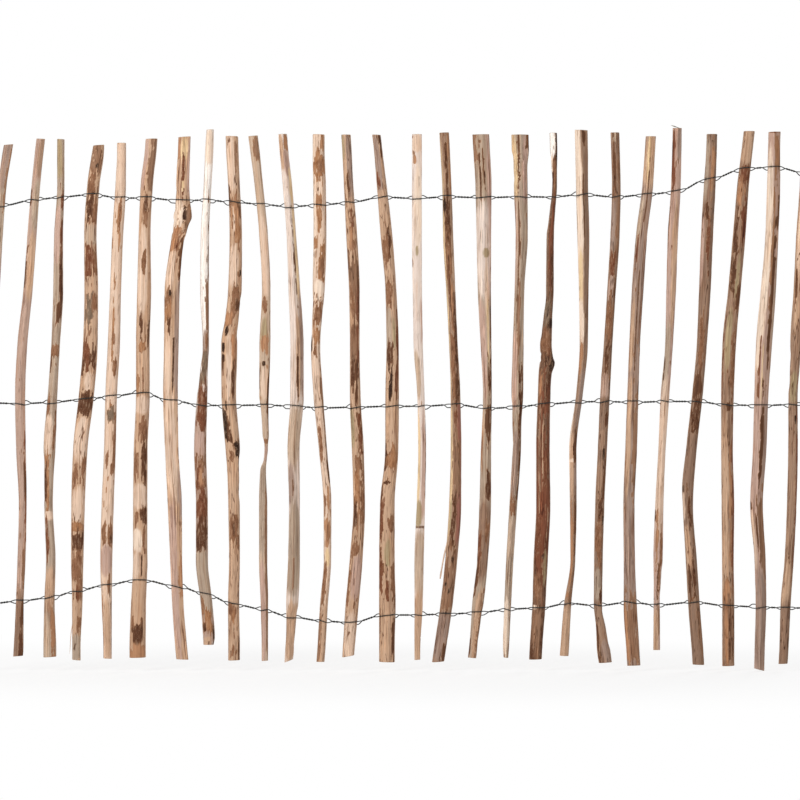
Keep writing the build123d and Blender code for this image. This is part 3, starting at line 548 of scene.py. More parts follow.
def matched(ring, model):
    """Return a ring turned so that each corner stands where it does in the model ring."""
    def unit(points):
        low, high = points[:, :2].min(0), points[:, :2].max(0)
        return (points[:, :2] - low) / (high - low)
    turns = [np.roll(ring, turn, axis=0) for turn in range(len(ring))]
    return min(turns, key=lambda turned: np.abs(unit(turned) - unit(model)).sum())


def rings_of(node):
    """Return a picket's rings of corners, from its foot to its top."""
    corners = corners_of(node)
    groups = np.split(corners, np.nonzero(np.diff(corners[:, 2]) > RING_GAP)[0] + 1)
    rings = []
    for group in groups:
        if len(group) == RING_CORNERS:
            ring = in_turn(group)
            rings.append(matched(ring, rings[0]) if rings else ring)
    top = groups[-1]
    if len(top) > RING_CORNERS:
        heights, counts = np.unique(np.round(top[:, 2], 4), return_counts=True)
        level = top[np.abs(top[:, 2] - heights[np.argmax(counts)]) < LEVEL_TOLERANCE]
        below = rings[-1]
        nearest = [level[np.argmin(np.hypot(*(level[:, :2] - corner[:2]).T))] for corner in below]
        rings.append(np.array(nearest))
    return np.array(rings)


def cleft_corners(rings):
    """Return the ring's index at which the two cleft sides start, or None for a whole stem."""
    sides = np.linalg.norm(np.roll(rings, -1, axis=1) - rings, axis=2).mean(0)
    long = sides > LONG_SIDE * sides.mean()
    for start in range(RING_CORNERS):
        if long[start] and long[(start + 1) % RING_CORNERS]:
            return start
    return None


# Curves through given points

def eased_slopes(places, values):
    """Return the slope at each place of a curve that never overshoots its values."""
    steps = np.diff(places)
    rises = np.diff(values, axis=0) / steps[:, None]
    slopes = np.zeros_like(values)
    same_way = rises[:-1] * rises[1:] > 0
    first = 2 * steps[1:] + steps[:-1]
    second = steps[1:] + 2 * steps[:-1]
    with np.errstate(divide="ignore", invalid="ignore"):
        mean = (first + second)[:, None] / (first[:, None] / rises[:-1] + second[:, None] / rises[1:])
    slopes[1:-1] = np.where(same_way, mean, 0)
    slopes[0], slopes[-1] = rises[0], rises[-1]
    return slopes


def eased_curve(places, values, wanted):
    """Return the values at the wanted places of a smooth curve through the given ones."""
    slopes = eased_slopes(places, values)
    below = np.clip(np.searchsorted(places, wanted, side="right") - 1, 0, len(places) - 2)
    step = (places[below + 1] - places[below])[:, None]
    t = (wanted - places[below])[:, None] / step
    start, end = values[below], values[below + 1]
    pull = step * (slopes[below] * t * (1 - t) ** 2 - slopes[below + 1] * t ** 2 * (1 - t))
    return start + (end - start) * t * t * (3 - 2 * t) + pull


def rounded_span(points, samples):
    """Return points on a rounded curve through a row of corners, given as rings of corners."""
    count = points.shape[1] - 1
    before = 2 * points[:, :1] - points[:, 1:2]
    after = 2 * points[:, -1:] - points[:, -2:-1]
    padded = np.concatenate([before, points, after], axis=1)
    spans = []
    for place in samples:
        side = min(int(place), count - 1)
        t = place - side
        a, b, c, d = (padded[:, side + k] for k in range(4))
        spans.append(0.5 * (2 * b + (c - a) * t + (2 * a - 5 * b + 4 * c - d) * t * t
                            + (3 * b - a - 3 * c + d) * t ** 3))
    return np.stack(spans, axis=1)


def outline_points(rings, start):
    """Return each ring's outline: two flat cleft sides and a rounded bark side, or a round stem."""
    if start is None:
        closed = np.concatenate([rings[:, -1:], rings, rings[:, :2]], axis=1)
        places = 1 + np.arange(STEM_SAMPLES) * RING_CORNERS / STEM_SAMPLES
        return rounded_span(closed, places)
    turned = np.roll(rings, -start, axis=1)
    sides = []
    for side in (0, 1):
        a, b = turned[:, side], turned[:, side + 1]
        sides += [a + share * (b - a) for share in CLEFT_SAMPLES]
    bark = np.concatenate([turned[:, 2:], turned[:, :1]], axis=1)
    places = np.linspace(*BARK_SPAN, BARK_SAMPLES)
    return np.concatenate([np.stack(sides, axis=1), rounded_span(bark, places)], axis=1)


# Skins of the pickets

def picket_outlines(node):
    """Return the picket's outlines at even heights from foot to top."""
    rings = rings_of(node)
    start = cleft_corners(rings)
    heights = rings[:, :, 2].mean(1)
    wanted = np.linspace(heights[0], heights[-1], RINGS)
    flat = eased_curve(heights, rings.reshape(len(rings), -1), wanted)
    return outline_points(flat.reshape(RINGS, RING_CORNERS, 3), start)


def cap_rings(outline):
    """Return the rings that close an end, from its rim inwards."""
    centre = outline.mean(0)
    return [centre + (outline - centre) * scale for scale in CAP_SCALES]


def tube_faces(rows, count):
    """Return the faces between rows of points that each hold count points in a closed ring."""
    faces = []
    for row in range(rows - 1):
        low = row * count
        high = low + count
        faces += [(low + i, low + (i + 1) % count, high + (i + 1) % count, high + i) for i in range(count)]
    return faces


def closed_tube(rows, foot_centre, top_centre):
    """Return the points and faces of a closed tube through rows of points, ends fanned."""
    count = len(rows[0])
    points = np.concatenate([*rows, [foot_centre], [top_centre]])
    faces = tube_faces(len(rows), count)
    foot, top = len(points) - 2, len(points) - 1
    last = (len(rows) - 1) * count
    faces += [((i + 1) % count, i, foot) for i in range(count)]
    faces += [(last + i, last + (i + 1) % count, top) for i in range(count)]
    return points, faces


def picket_skin(outlines):
    """Return the points and faces of a picket, and which points lie in its two cut ends."""
    body = outlines.copy()
    body[0, :, 2] += CAP_CHAMFER
    body[-1, :, 2] -= CAP_CHAMFER
    foot = cap_rings(outlines[0])[::-1]
    top = cap_rings(outlines[-1])
    rows = [*foot, *body, *top]
    points, faces = closed_tube(rows, outlines[0].mean(0), outlines[-1].mean(0))
    ends = np.zeros(len(points))
    count = outlines.shape[1]
    ends[:len(foot) * count] = 1
    ends[-len(top) * count - 2:] = 1
    return points, faces, ends


def sliver_rows(route, upright):
    """Return round rows of points along a sliver's route of x, y, z, width and depth."""
    route = np.array(route)
    way = 2 if upright else 0
    route = route[np.argsort(route[:, way])]
    wanted = np.linspace(route[0, way], route[-1, way], SLIVER_RINGS)
    turns = np.linspace(0, 2 * math.pi, SLIVER_SIDES, endpoint=False)
    rows = []
    for x, y, z, width, depth in eased_curve(route[:, way], route, wanted):
        if upright:
            rows.append([(x + width / 2 * math.cos(a), y + depth / 2 * math.sin(a), z) for a in turns])
        else:
            rows.append([(x, y + depth / 2 * math.cos(a), z + width / 2 * math.sin(a)) for a in turns])
    return np.array(rows)


def left_side_at(outlines, height):
    """Return the picket's left side and middle depth at a height."""
    row = outlines[np.argmin(np.abs(outlines[:, :, 2].mean(1) - height))]
    return row[:, 0].min(), row[:, 1].mean()


def slivers_of(node, outlines):
    """Return rows of points for each splinter or torn sliver of a picket."""
    routes = []
    if node in SPLINTERS:
        route = []
        for row, reach, width, depth in SPLINTERS[node]:
            left, y = left_side_at(outlines, row_height(row))
            route.append((left - reach, y, row_height(row), width, depth))
        routes.append(route)
    if node == TORN_PICKET:
        top = outlines[-1]
        left, y, height = top[:, 0].min(), top[:, 1].mean(), top[:, 2].max()
        routes.append([(left + along, y, height + rise, thickness, depth)
                       for along, rise, thickness, depth in TORN_SLIVER])
    return [sliver_rows(route, node in SPLINTERS) for route in routes]


# Painting the pickets

def front_share(outward):
    """Return how far each point faces the front, from 0 to 1."""
    return np.clip(0.5 - FRONT_TURN * outward[:, 1], 0, 1)


def painted(node, points, outward, across):
    """Return each point's wood tone, the tone over it, how far that covers and flakes, and its rise."""
    wood_name, bark_name, front_bark, back_bark, _, marks = LOOKS[node]
    shift = number_of(node) * np.array(NOISE_SHIFT)
    drift = noise_at(points * DRIFT_SCALE + shift)
    spikes = noise_at(points * SPIKE_SCALE + shift)
    fine = noise_at(points * FINE_SCALE + shift)
    ragged = RAGGED_SHARES[0] * drift + RAGGED_SHARES[1] * spikes + RAGGED_SHARES[2] * fine
    front = front_share(outward)
    wood = np.tile(linear_colour(TONES[wood_name][1]), (len(points), 1))
    behind = linear_colour(TONES["tan"][1])
    wood = wood * front[:, None] + behind * (1 - front[:, None])
    bark = np.tile(linear_colour(TONES[bark_name][1]), (len(points), 1))
    share = front * front_bark + (1 - front) * back_bark
    patches = 0.5 + 0.55 * noise_at(points * PATCH_SCALE + shift * 2) + 0.2 * drift
    flecks = 0.5 + 0.75 * noise_at(points * FLECK_SCALE + shift * 3) + 0.12 * drift
    fleck_share = front * front_bark
    patched = smooth_step(PATCH_EDGE[0] - share, PATCH_EDGE[1] - share, patches)
    flecked = smooth_step(FLECK_EDGE[0] - fleck_share, FLECK_EDGE[1] - fleck_share, flecks)
    cover = np.maximum(patched, flecked)
    flaky = np.ones(len(points))
    relief = cover * SCATTERED_RISE
    heights = points[:, 2]
    for tone_name, first_row, last_row, left, right in marks:
        layer, tone, rise = TONES[tone_name]
        half_height = (last_row - first_row) * PIXEL / 2
        half_width = (right - left) / 2
        along = np.abs(heights - row_height((first_row + last_row) / 2)) / half_height
        beside = np.abs(across - (left + right) / 2) / half_width
        distance = (along ** MARK_SQUARENESS + beside ** MARK_SQUARENESS) ** (1 / MARK_SQUARENESS)
        ragged_share = np.clip(half_height / MARK_SOFT_HEIGHT, *RAGGED_RANGE)
        if layer == "wood":
            there = smooth_step(*WOOD_EDGE, distance + WOOD_RAGGEDNESS * ragged_share * ragged) * front
            wood += (linear_colour(tone) - wood) * there[:, None]
            cover = cover * (1 - BARED_SHARE * there)
            relief *= 1 - there
        else:
            there = smooth_step(*BARK_EDGE, distance + BARK_RAGGEDNESS * ragged_share * ragged) * front
            cover = np.maximum(cover, there)
            bark += (linear_colour(tone) - bark) * there[:, None]
            relief += (rise - relief) * there
            flaky += ((layer == "bark") - flaky) * there
    return wood, bark, cover, flaky, relief


def outward_of(points, centre):
    """Return unit vectors that point from a picket's middle line to each point, level."""
    away = points - centre
    away[:, 2] = 0
    return away / np.maximum(np.linalg.norm(away, axis=1, keepdims=True), 1e-6)


def add_attribute(mesh, name, kind, values):
    """Store one value for each point of a mesh."""
    attribute = mesh.attributes.new(name, kind, "POINT")
    field = {"FLOAT": "value", "FLOAT_VECTOR": "vector", "FLOAT_COLOR": "color"}[kind]
    attribute.data.foreach_set(field, np.asarray(values, dtype=np.float32).ravel())


def with_alpha(colours):
    """Return colours with an alpha of one."""
    return np.hstack([colours, np.ones((len(colours), 1))])


def pressed_share(node, points, outward, across):
    """Return how far each point lies under a wire, from 0 to 1."""
    pressed = np.zeros(len(points))
    for row in wire_rows.values():
        middle = np.interp(points[:, 0], *row["level"])
        for side in (-1, 1):
            level = middle + np.interp(across, (-1, 1), row["splays"][node][side])
            facing = np.clip(side * outward[:, 1] + DENT_FACING, 0, 1)
            pressed = np.maximum(pressed, np.exp(-((points[:, 2] - level) / DENT_REACH) ** 2) * facing)
    return pressed


def picket_mesh(node):
    """Return a picket's skin as a mesh with the attributes that its relief and material read."""
    outlines = picket_outlines(node)
    picket_shapes[node] = outlines
    points, faces, ends = picket_skin(outlines)
    body = len(points)
    tubes = slivers_of(node, outlines)
    for rows in tubes:
        extra, extra_faces = closed_tube(list(rows), rows[0].mean(0), rows[-1].mean(0))
        faces += [tuple(len(points) + i for i in face) for face in extra_faces]
        points = np.concatenate([points, extra])
    ends = np.concatenate([ends, np.zeros(len(points) - body)])
    levels = outlines[:, :, 2].mean(1)
    centres = outlines.mean(1)
    middle = np.stack([np.interp(points[:, 2], levels, centres[:, k]) for k in range(2)], axis=1)
    left = np.interp(points[:, 2], levels, outlines[:, :, 0].min(1))
    right = np.interp(points[:, 2], levels, outlines[:, :, 0].max(1))
    across = (2 * points[:, 0] - left - right) / (right - left)
    centre = np.column_stack([middle, points[:, 2]])
    outward = outward_of(points, centre)
    wood, bark, cover, flaky, relief = painted(node, points, outward, across)
    loose = np.zeros(len(points))
    loose[body:] = 1
    cover[body:] = 0
    relief[body:] = 0
    wood[body:] = linear_colour(TONES["weathered" if node == TORN_PICKET else "pale"][1])
    relief[ends > 0] = 0
    cover[ends > 0] = 0
    mesh = bpy.data.meshes.new(node + "_wood")
    mesh.from_pydata(points.tolist(), [], faces)
    add_attribute(mesh, "wood_tone", "FLOAT_COLOR", with_alpha(wood))
    add_attribute(mesh, "bark_tone", "FLOAT_COLOR", with_alpha(bark))
    add_attribute(mesh, "bark_cover", "FLOAT", cover)
    add_attribute(mesh, "flaky", "FLOAT", flaky)
    add_attribute(mesh, "relief", "FLOAT", relief * MILLIMETRE)
    add_attribute(mesh, "grain", "FLOAT_VECTOR", points - np.column_stack([middle, np.zeros(len(points))]))
    add_attribute(mesh, "end_grain", "FLOAT", ends)
    add_attribute(mesh, "pressed", "FLOAT", np.maximum(pressed_share(node, points, outward, across), loose))
    return mesh


# Node helpers

def link(tree, source, target):
    """Join two sockets."""
    tree.links.new(source, target)


def math_node(tree, operation, first, second=None, clamp=False):
    """Return the output of a Math node; an operand is a socket or a number."""
    node = tree.nodes.new("ShaderNodeMath")
    node.operation = operation
    node.use_clamp = clamp
    put(tree, node.inputs[0], first)
    put(tree, node.inputs[1], second)
    return node.outputs[0]


def put(tree, socket, operand):
    """Give a socket a link or a plain value."""
    if operand is None:
        return
    if isinstance(operand, bpy.types.NodeSocket):
        link(tree, operand, socket)
    else:
        socket.default_value = operand


def vector_node(tree, operation, first, second=None):
    """Return the output of a Vector Math node; to scale, the second operand is a number or socket."""
    node = tree.nodes.new("ShaderNodeVectorMath")
    node.operation = operation
    put(tree, node.inputs[0], first)
    put(tree, node.inputs["Scale" if operation == "SCALE" else 1], second)
    return node.outputs["Value"] if operation == "LENGTH" else node.outputs["Vector"]


def noise_node(tree, vector, detail, roughness=0.55):
    """Return the value of a noise of unit scale at a vector."""
    node = tree.nodes.new("ShaderNodeTexNoise")
    node.inputs["Scale"].default_value = 1.0
    node.inputs["Detail"].default_value = detail
    node.inputs["Roughness"].default_value = roughness
    link(tree, vector, node.inputs["Vector"])
    return node.outputs[0]


def range_node(tree, value, low, high, to_low=0.0, to_high=1.0):
    """Return a value mapped smoothly from one range to another and held there."""
    node = tree.nodes.new("ShaderNodeMapRange")
    node.interpolation_type = "SMOOTHSTEP"
    put(tree, node.inputs["Value"], value)
    for name, number in (("From Min", low), ("From Max", high), ("To Min", to_low), ("To Max", to_high)):
        put(tree, node.inputs[name], number)
    return node.outputs[0]


def share_node(tree, value, low, high, strength):
    """Return how far a value has come from low to high, times a strength."""
    return math_node(tree, "MULTIPLY", range_node(tree, value, low, high), strength)


def mix_colours(tree, share, first, second, blend="MIX"):
    """Return two colours mixed by a share."""
    node = tree.nodes.new("ShaderNodeMix")
    node.data_type = "RGBA"
    node.blend_type = blend
    node.clamp_factor = True
    node.clamp_result = True
    put(tree, node.inputs[0], share)
    put(tree, node.inputs[6], first)
    put(tree, node.inputs[7], second)
    return node.outputs[2]


def shaded(tree, share, colour, shade):
    """Return a colour multiplied by a shade, by a share."""
    return mix_colours(tree, share, colour, (*shade, 1), "MULTIPLY")


def new_group(name, kind, inputs, outputs):
    """Return a node group with named sockets, and its input and output nodes."""
    group = bpy.data.node_groups.new(name, kind)
    for label, socket_kind, value in inputs:
        socket = group.interface.new_socket(label, in_out="INPUT", socket_type=socket_kind)
        if value is not None:
            socket.default_value = value
    for label, socket_kind in outputs:
        group.interface.new_socket(label, in_out="OUTPUT", socket_type=socket_kind)
    start = group.nodes.new("NodeGroupInput")
    end = group.nodes.new("NodeGroupOutput")
    return group, start.outputs, end.inputs


# Geometry trees

def attribute_in(tree, name, kind):
    """Return a named attribute inside a geometry tree."""
    node = tree.nodes.new("GeometryNodeInputNamedAttribute")
    node.data_type = kind
    node.inputs["Name"].default_value = name
    return node.outputs["Attribute"]


def relief_tree():
    """Return the tree that raises bark, sinks cracks and roughs up the wood of a picket."""
    tree, given, made = new_group("Picket relief", "GeometryNodeTree", (
        ("Geometry", "NodeSocketGeometry", None),
        ("Wood", "NodeSocketMaterial", None),
        ("Fibre Width", "NodeSocketFloat", 0.0026),
        ("Fibre Stretch", "NodeSocketFloat", 0.045),
        ("Fibre Relief", "NodeSocketFloat", 0.0004),
        ("Fibre Level", "NodeSocketFloat", 0.55),
        ("Lump Length", "NodeSocketFloat", 0.03),
        ("Lump Relief", "NodeSocketFloat", 0.0009),
        ("Lump Level", "NodeSocketFloat", 0.62),
        ("Press Depth", "NodeSocketFloat", 0.0003),
        ("Picket Number", "NodeSocketFloat", 0.0),
    ), (("Geometry", "NodeSocketGeometry"),))
    grain = attribute_in(tree, "grain", "FLOAT_VECTOR")
    relief = attribute_in(tree, "relief", "FLOAT")
    pressed = attribute_in(tree, "pressed", "FLOAT")
    ends = attribute_in(tree, "end_grain", "FLOAT")
    shift = tree.nodes.new("ShaderNodeCombineXYZ")
    put(tree, shift.inputs["Z"], given["Picket Number"])
    moved = vector_node(tree, "ADD", grain, shift.outputs[0])
    across = math_node(tree, "DIVIDE", 1.0, given["Fibre Width"])
    along = math_node(tree, "MULTIPLY", across, given["Fibre Stretch"])
    fibre_scale = tree.nodes.new("ShaderNodeCombineXYZ")
    for socket, value in zip(fibre_scale.inputs, (across, across, along)):
        put(tree, socket, value)
    fibres = noise_node(tree, vector_node(tree, "MULTIPLY", moved, fibre_scale.outputs[0]), 2.0)
    lump_scale = math_node(tree, "DIVIDE", 1.0, given["Lump Length"])
    lumps = noise_node(tree, vector_node(tree, "SCALE", moved, lump_scale), 2.0)
    fibre_rise = math_node(tree, "SUBTRACT", fibres, given["Fibre Level"])
    fibre_rise = math_node(tree, "MULTIPLY", fibre_rise, given["Fibre Relief"])
    lump_rise = math_node(tree, "SUBTRACT", lumps, given["Lump Level"])
    lump_rise = math_node(tree, "MULTIPLY", lump_rise, given["Lump Relief"])
    rise = math_node(tree, "ADD", math_node(tree, "ADD", fibre_rise, lump_rise), relief)
    sunk = math_node(tree, "MULTIPLY", given["Press Depth"], -1.0)
    gap = math_node(tree, "SUBTRACT", sunk, rise)
    rise = math_node(tree, "ADD", rise, math_node(tree, "MULTIPLY", gap, pressed))
    rise = math_node(tree, "MULTIPLY", rise, math_node(tree, "SUBTRACT", 1.0, ends))
    normal = tree.nodes.new("GeometryNodeInputNormal")
    place = tree.nodes.new("GeometryNodeSetPosition")
    link(tree, given["Geometry"], place.inputs["Geometry"])
    link(tree, vector_node(tree, "SCALE", normal.outputs[0], rise), place.inputs["Offset"])
    finish_tree(tree, place.outputs["Geometry"], given["Wood"], made)
    return tree


def finish_tree(tree, geometry, material, made):
    """End a geometry tree with smooth shading, real geometry and its material."""
    shade = tree.nodes.new("GeometryNodeSetShadeSmooth")
    link(tree, geometry, shade.inputs["Geometry"])
    real = tree.nodes.new("GeometryNodeRealizeInstances")
    link(tree, shade.outputs[0], real.inputs["Geometry"])
    coat = tree.nodes.new("GeometryNodeSetMaterial")
    link(tree, real.outputs[0], coat.inputs["Geometry"])
    link(tree, material, coat.inputs["Material"])
    link(tree, coat.outputs[0], made["Geometry"])


def wire_tree():
    """Return the tree that twists a wire off its row's middle line and gives it its round section."""
    tree, given, made = new_group("Twisted wire", "GeometryNodeTree", (
        ("Geometry", "NodeSocketGeometry", None),
        ("Steel", "NodeSocketMaterial", None),
        ("Wire Radius", "NodeSocketFloat", WIRE_RADIUS),
        ("Sides", "NodeSocketInt", WIRE_SIDES),
    ), (("Geometry", "NodeSocketGeometry"),))
    phase = attribute_in(tree, "phase", "FLOAT")
    reach = attribute_in(tree, "reach", "FLOAT")
    offset = tree.nodes.new("ShaderNodeCombineXYZ")
    put(tree, offset.inputs["Y"], math_node(tree, "MULTIPLY", math_node(tree, "COSINE", phase), reach))
    put(tree, offset.inputs["Z"], math_node(tree, "MULTIPLY", math_node(tree, "SINE", phase), reach))
    place = tree.nodes.new("GeometryNodeSetPosition")
    link(tree, given["Geometry"], place.inputs["Geometry"])
    link(tree, offset.outputs[0], place.inputs["Offset"])
    curve = tree.nodes.new("GeometryNodeMeshToCurve")
    link(tree, place.outputs["Geometry"], curve.inputs["Mesh"])
    circle = tree.nodes.new("GeometryNodeCurvePrimitiveCircle")
    link(tree, given["Sides"], circle.inputs["Resolution"])
    link(tree, given["Wire Radius"], circle.inputs["Radius"])
    tube = tree.nodes.new("GeometryNodeCurveToMesh")
    link(tree, curve.outputs["Curve"], tube.inputs["Curve"])
    link(tree, circle.outputs["Curve"], tube.inputs["Profile Curve"])
    tube.inputs["Fill Caps"].default_value = True
    finish_tree(tree, tube.outputs["Mesh"], given["Steel"], made)
    return tree


def shaped(name, mesh, tree, values):
    """Return a new object whose mesh is what a geometry tree makes of the given one."""
    source = bpy.data.objects.new(name, mesh)
    bpy.context.scene.collection.objects.link(source)
    modifier = source.modifiers.new("shape", "NODES")
    modifier.node_group = tree
    for item in tree.interface.items_tree:
        if item.item_type == "SOCKET" and item.in_out == "INPUT" and item.name in values:
            modifier[item.identifier] = values[item.name]
    graph = bpy.context.evaluated_depsgraph_get()
    result = bpy.data.meshes.new_from_object(source.evaluated_get(graph))
    source.modifiers.clear()
    source.data = result
    result.name = name
    bpy.data.meshes.remove(mesh)
    return source


# Shader groups

def grain_noise(tree, grain, across, along, detail, roughness=0.55):
    """Return a noise stretched along the picket, by its scales across and along the grain."""
    scaled = vector_node(tree, "MULTIPLY", grain, (across, across, along))
    return noise_node(tree, scaled, detail, roughness)


def grain_group():
    """Return the group that draws streaks, fibres and year lines on cleft wood."""
    tree, given, made = new_group("Hazel grain", "ShaderNodeTree", (
        ("Tone", "NodeSocketColor", None),
        ("Grain", "NodeSocketVector", None),
        ("Streak Contrast", "NodeSocketFloat", 0.8),
        ("Year Width", "NodeSocketFloat", 0.0021),
        ("Crack Lines", "NodeSocketFloat", 0.3),
    ), (("Color", "NodeSocketColor"), ("Height", "NodeSocketFloat")))
    grain = given["Grain"]
    streaks = grain_noise(tree, grain, 330, 7, 3.0)
    bands = grain_noise(tree, grain, 120, 9, 2.0)
    fibres = grain_noise(tree, grain, 1500, 40, 2.0)
    threads = grain_noise(tree, grain, 780, 11, 2.0)
    flecks = grain_noise(tree, grain, 700, 90, 2.0)
    calm = grain_noise(tree, grain, 75, 11, 1.0)
    evenness = range_node(tree, calm, 0.4, 0.6, 0.35, 1.2)
    contrast = math_node(tree, "MULTIPLY", given["Streak Contrast"], evenness)

    def streaked(value, low, high, strength):
        """Return how far a value has come from low to high, stronger where streaks stand out."""
        return share_node(tree, value, low, high, math_node(tree, "MULTIPLY", contrast, strength))

    colour = shaded(tree, streaked(streaks, 0.50, 0.66, 0.68), given["Tone"], DARK_STREAK)
    colour = shaded(tree, streaked(streaks, 0.46, 0.34, 0.7), colour, PALE_STREAK)
    colour = shaded(tree, streaked(threads, 0.57, 0.66, 0.88), colour, SPLIT_SHADE)
    colour = shaded(tree, streaked(threads, 0.42, 0.34, 0.8), colour, BRIGHT_THREAD)
    colour = shaded(tree, share_node(tree, bands, 0.5, 0.68, 0.4), colour, WARM_BAND)
    colour = shaded(tree, share_node(tree, bands, 0.47, 0.33, 0.45), colour, COOL_BAND)
    level = vector_node(tree, "MULTIPLY", grain, (1.0, 1.0, 0.0))
    radius = vector_node(tree, "LENGTH", vector_node(tree, "ADD", level, (0.004, 0.011, 0.0)))
    years = math_node(tree, "DIVIDE", radius, given["Year Width"])
    years = math_node(tree, "ADD", years, math_node(tree, "MULTIPLY", streaks, 1.8))
    years = math_node(tree, "SINE", math_node(tree, "MULTIPLY", years, RING_TURN))
    lines = share_node(tree, years, 0.55, 0.98, 0.28)
    colour = shaded(tree, math_node(tree, "MULTIPLY", lines, contrast), colour, YEAR_LINE)
    winding = grain_noise(tree, grain, 135, 10, 1.5)
    broken = range_node(tree, grain_noise(tree, grain, 90, 30, 1.0), 0.44, 0.56)
    nearness = math_node(tree, "ABSOLUTE", math_node(tree, "SUBTRACT", winding, 0.5))
    crack = math_node(tree, "MULTIPLY", range_node(tree, nearness, 0.008, 0.024, 1.0, 0.0), broken)
    crack = math_node(tree, "MULTIPLY", crack, given["Crack Lines"])
    colour = shaded(tree, crack, colour, CRACK_SHADE)
    colour = shaded(tree, share_node(tree, flecks, 0.6, 0.72, 0.25), colour, FLECK_SHADE)
    fibre = math_node(tree, "MULTIPLY", range_node(tree, fibres, 0.35, 0.65, 1.0, 0.0), 0.18)
    colour = shaded(tree, fibre, colour, FIBRE_SHADE)
    streak_height = math_node(tree, "MULTIPLY", streaks, 0.6)
    height = math_node(tree, "ADD", streak_height, math_node(tree, "MULTIPLY", fibres, 0.4))
    height = math_node(tree, "SUBTRACT", height, math_node(tree, "MULTIPLY", lines, 0.4))
    height = math_node(tree, "SUBTRACT", height, crack)
    link(tree, colour, made["Color"])
    link(tree, height, made["Height"])
    return tree


def bark_group():
    """Return the group that draws flaking bark with pale pores."""
    tree, given, made = new_group("Hazel bark", "ShaderNodeTree", (
        ("Tone", "NodeSocketColor", None),
        ("Grain", "NodeSocketVector", None),
        ("Flake Contrast", "NodeSocketFloat", 0.9),
    ), (("Color", "NodeSocketColor"), ("Height", "NodeSocketFloat")))
    flakes = grain_noise(tree, given["Grain"], 260, 60, 4.0, 0.6)
    ridges = grain_noise(tree, given["Grain"], 900, 150, 3.0)
    pores = grain_noise(tree, given["Grain"], 320, 1100, 1.0)
    deep = share_node(tree, flakes, 0.52, 0.66, given["Flake Contrast"])
    colour = shaded(tree, math_node(tree, "MULTIPLY", deep, 0.75), given["Tone"], DEEP_FLAKE)
    pale_share = math_node(tree, "MULTIPLY", given["Flake Contrast"], 0.32)
    colour = mix_colours(tree, share_node(tree, flakes, 0.46, 0.34, pale_share), colour, PALE_FLAKE)
    colour = shaded(tree, share_node(tree, ridges, 0.5, 0.7, 0.4), colour, RIDGE_SHADE)
    dots = share_node(tree, pores, 0.68, 0.76, 0.55)
    colour = mix_colours(tree, dots, colour, PORE_TONE)
    flake_height = math_node(tree, "MULTIPLY", flakes, 0.7)
    height = math_node(tree, "ADD", flake_height, math_node(tree, "MULTIPLY", ridges, 0.3))
    height = math_node(tree, "ADD", height, math_node(tree, "MULTIPLY", dots, 0.5))
    link(tree, colour, made["Color"])
    link(tree, height, made["Height"])
    return tree


def cover_group():
    """Return the group that gives a patch its ragged edge and the pale rim beside it."""
    tree, given, made = new_group("Ragged cover", "ShaderNodeTree", (
        ("Cover", "NodeSocketFloat", 0.0),
        ("Grain", "NodeSocketVector", None),
        ("Raggedness", "NodeSocketFloat", 1.5),
    ), (("Mask", "NodeSocketFloat"), ("Rim", "NodeSocketFloat")))
    edge = grain_noise(tree, given["Grain"], 620, 45, 4.0, 0.65)
    drift = math_node(tree, "MULTIPLY", math_node(tree, "SUBTRACT", edge, 0.5), given["Raggedness"])
    cover = math_node(tree, "ADD", given["Cover"], drift)
    link(tree, range_node(tree, cover, 0.44, 0.56), made["Mask"])
    near = range_node(tree, cover, 0.22, 0.46)
    past = range_node(tree, cover, 0.46, 0.6)
    link(tree, math_node(tree, "SUBTRACT", near, past, clamp=True), made["Rim"])
    return tree


def end_group():
    """Return the group that draws year rings and saw marks on a sawn end."""
    tree, given, made = new_group("Sawn end", "ShaderNodeTree", (
        ("Grain", "NodeSocketVector", None),
        ("Ring Width", "NodeSocketFloat", 0.0016),
    ), (("Color", "NodeSocketColor"), ("Height", "NodeSocketFloat")))
    level = vector_node(tree, "MULTIPLY", given["Grain"], (1.0, 1.0, 0.0))
    radius = vector_node(tree, "LENGTH", vector_node(tree, "ADD", level, (0.002, 0.004, 0.0)))
    wander = noise_node(tree, vector_node(tree, "MULTIPLY", level, (300.0, 300.0, 1.0)), 2.0)
    turns = math_node(tree, "ADD", math_node(tree, "DIVIDE", radius, given["Ring Width"]), wander)
    rings = math_node(tree, "SINE", math_node(tree, "MULTIPLY", turns, RING_TURN))
    dark = share_node(tree, rings, 0.1, 0.95, 0.5)
    saw_scale = (250.0, 1500.0, 1.0)
    saw = noise_node(tree, vector_node(tree, "MULTIPLY", given["Grain"], saw_scale), 3.0)
    colour = mix_colours(tree, dark, RING_PALE, RING_DARK)
    colour = mix_colours(tree, math_node(tree, "MULTIPLY", saw, 0.5), colour, SAWN_TONE)
    link(tree, colour, made["Color"])
    link(tree, math_node(tree, "ADD", saw, math_node(tree, "MULTIPLY", dark, 0.4)), made["Height"])
    return tree


def placed_group(tree, group, **values):
    """Return the outputs of a group placed in a material, its inputs given by name."""
    node = tree.nodes.new("ShaderNodeGroup")
    node.node_tree = group
    for label, value in values.items():
        put(tree, node.inputs[label.replace("_", " ")], value)
    return node.outputs


def attribute_of(tree, name, output):
    """Return a mesh attribute inside a material."""
    node = tree.nodes.new("ShaderNodeAttribute")
    node.attribute_name = name
    return node.outputs[output]


def bump_on(tree, shader, height, strength, distance):
    """Give a shader a bump from a height."""
    bump = tree.nodes.new("ShaderNodeBump")
    bump.inputs["Strength"].default_value = strength
    bump.inputs["Distance"].default_value = distance
    link(tree, height, bump.inputs["Height"])
    link(tree, bump.outputs["Normal"], shader.inputs["Normal"])


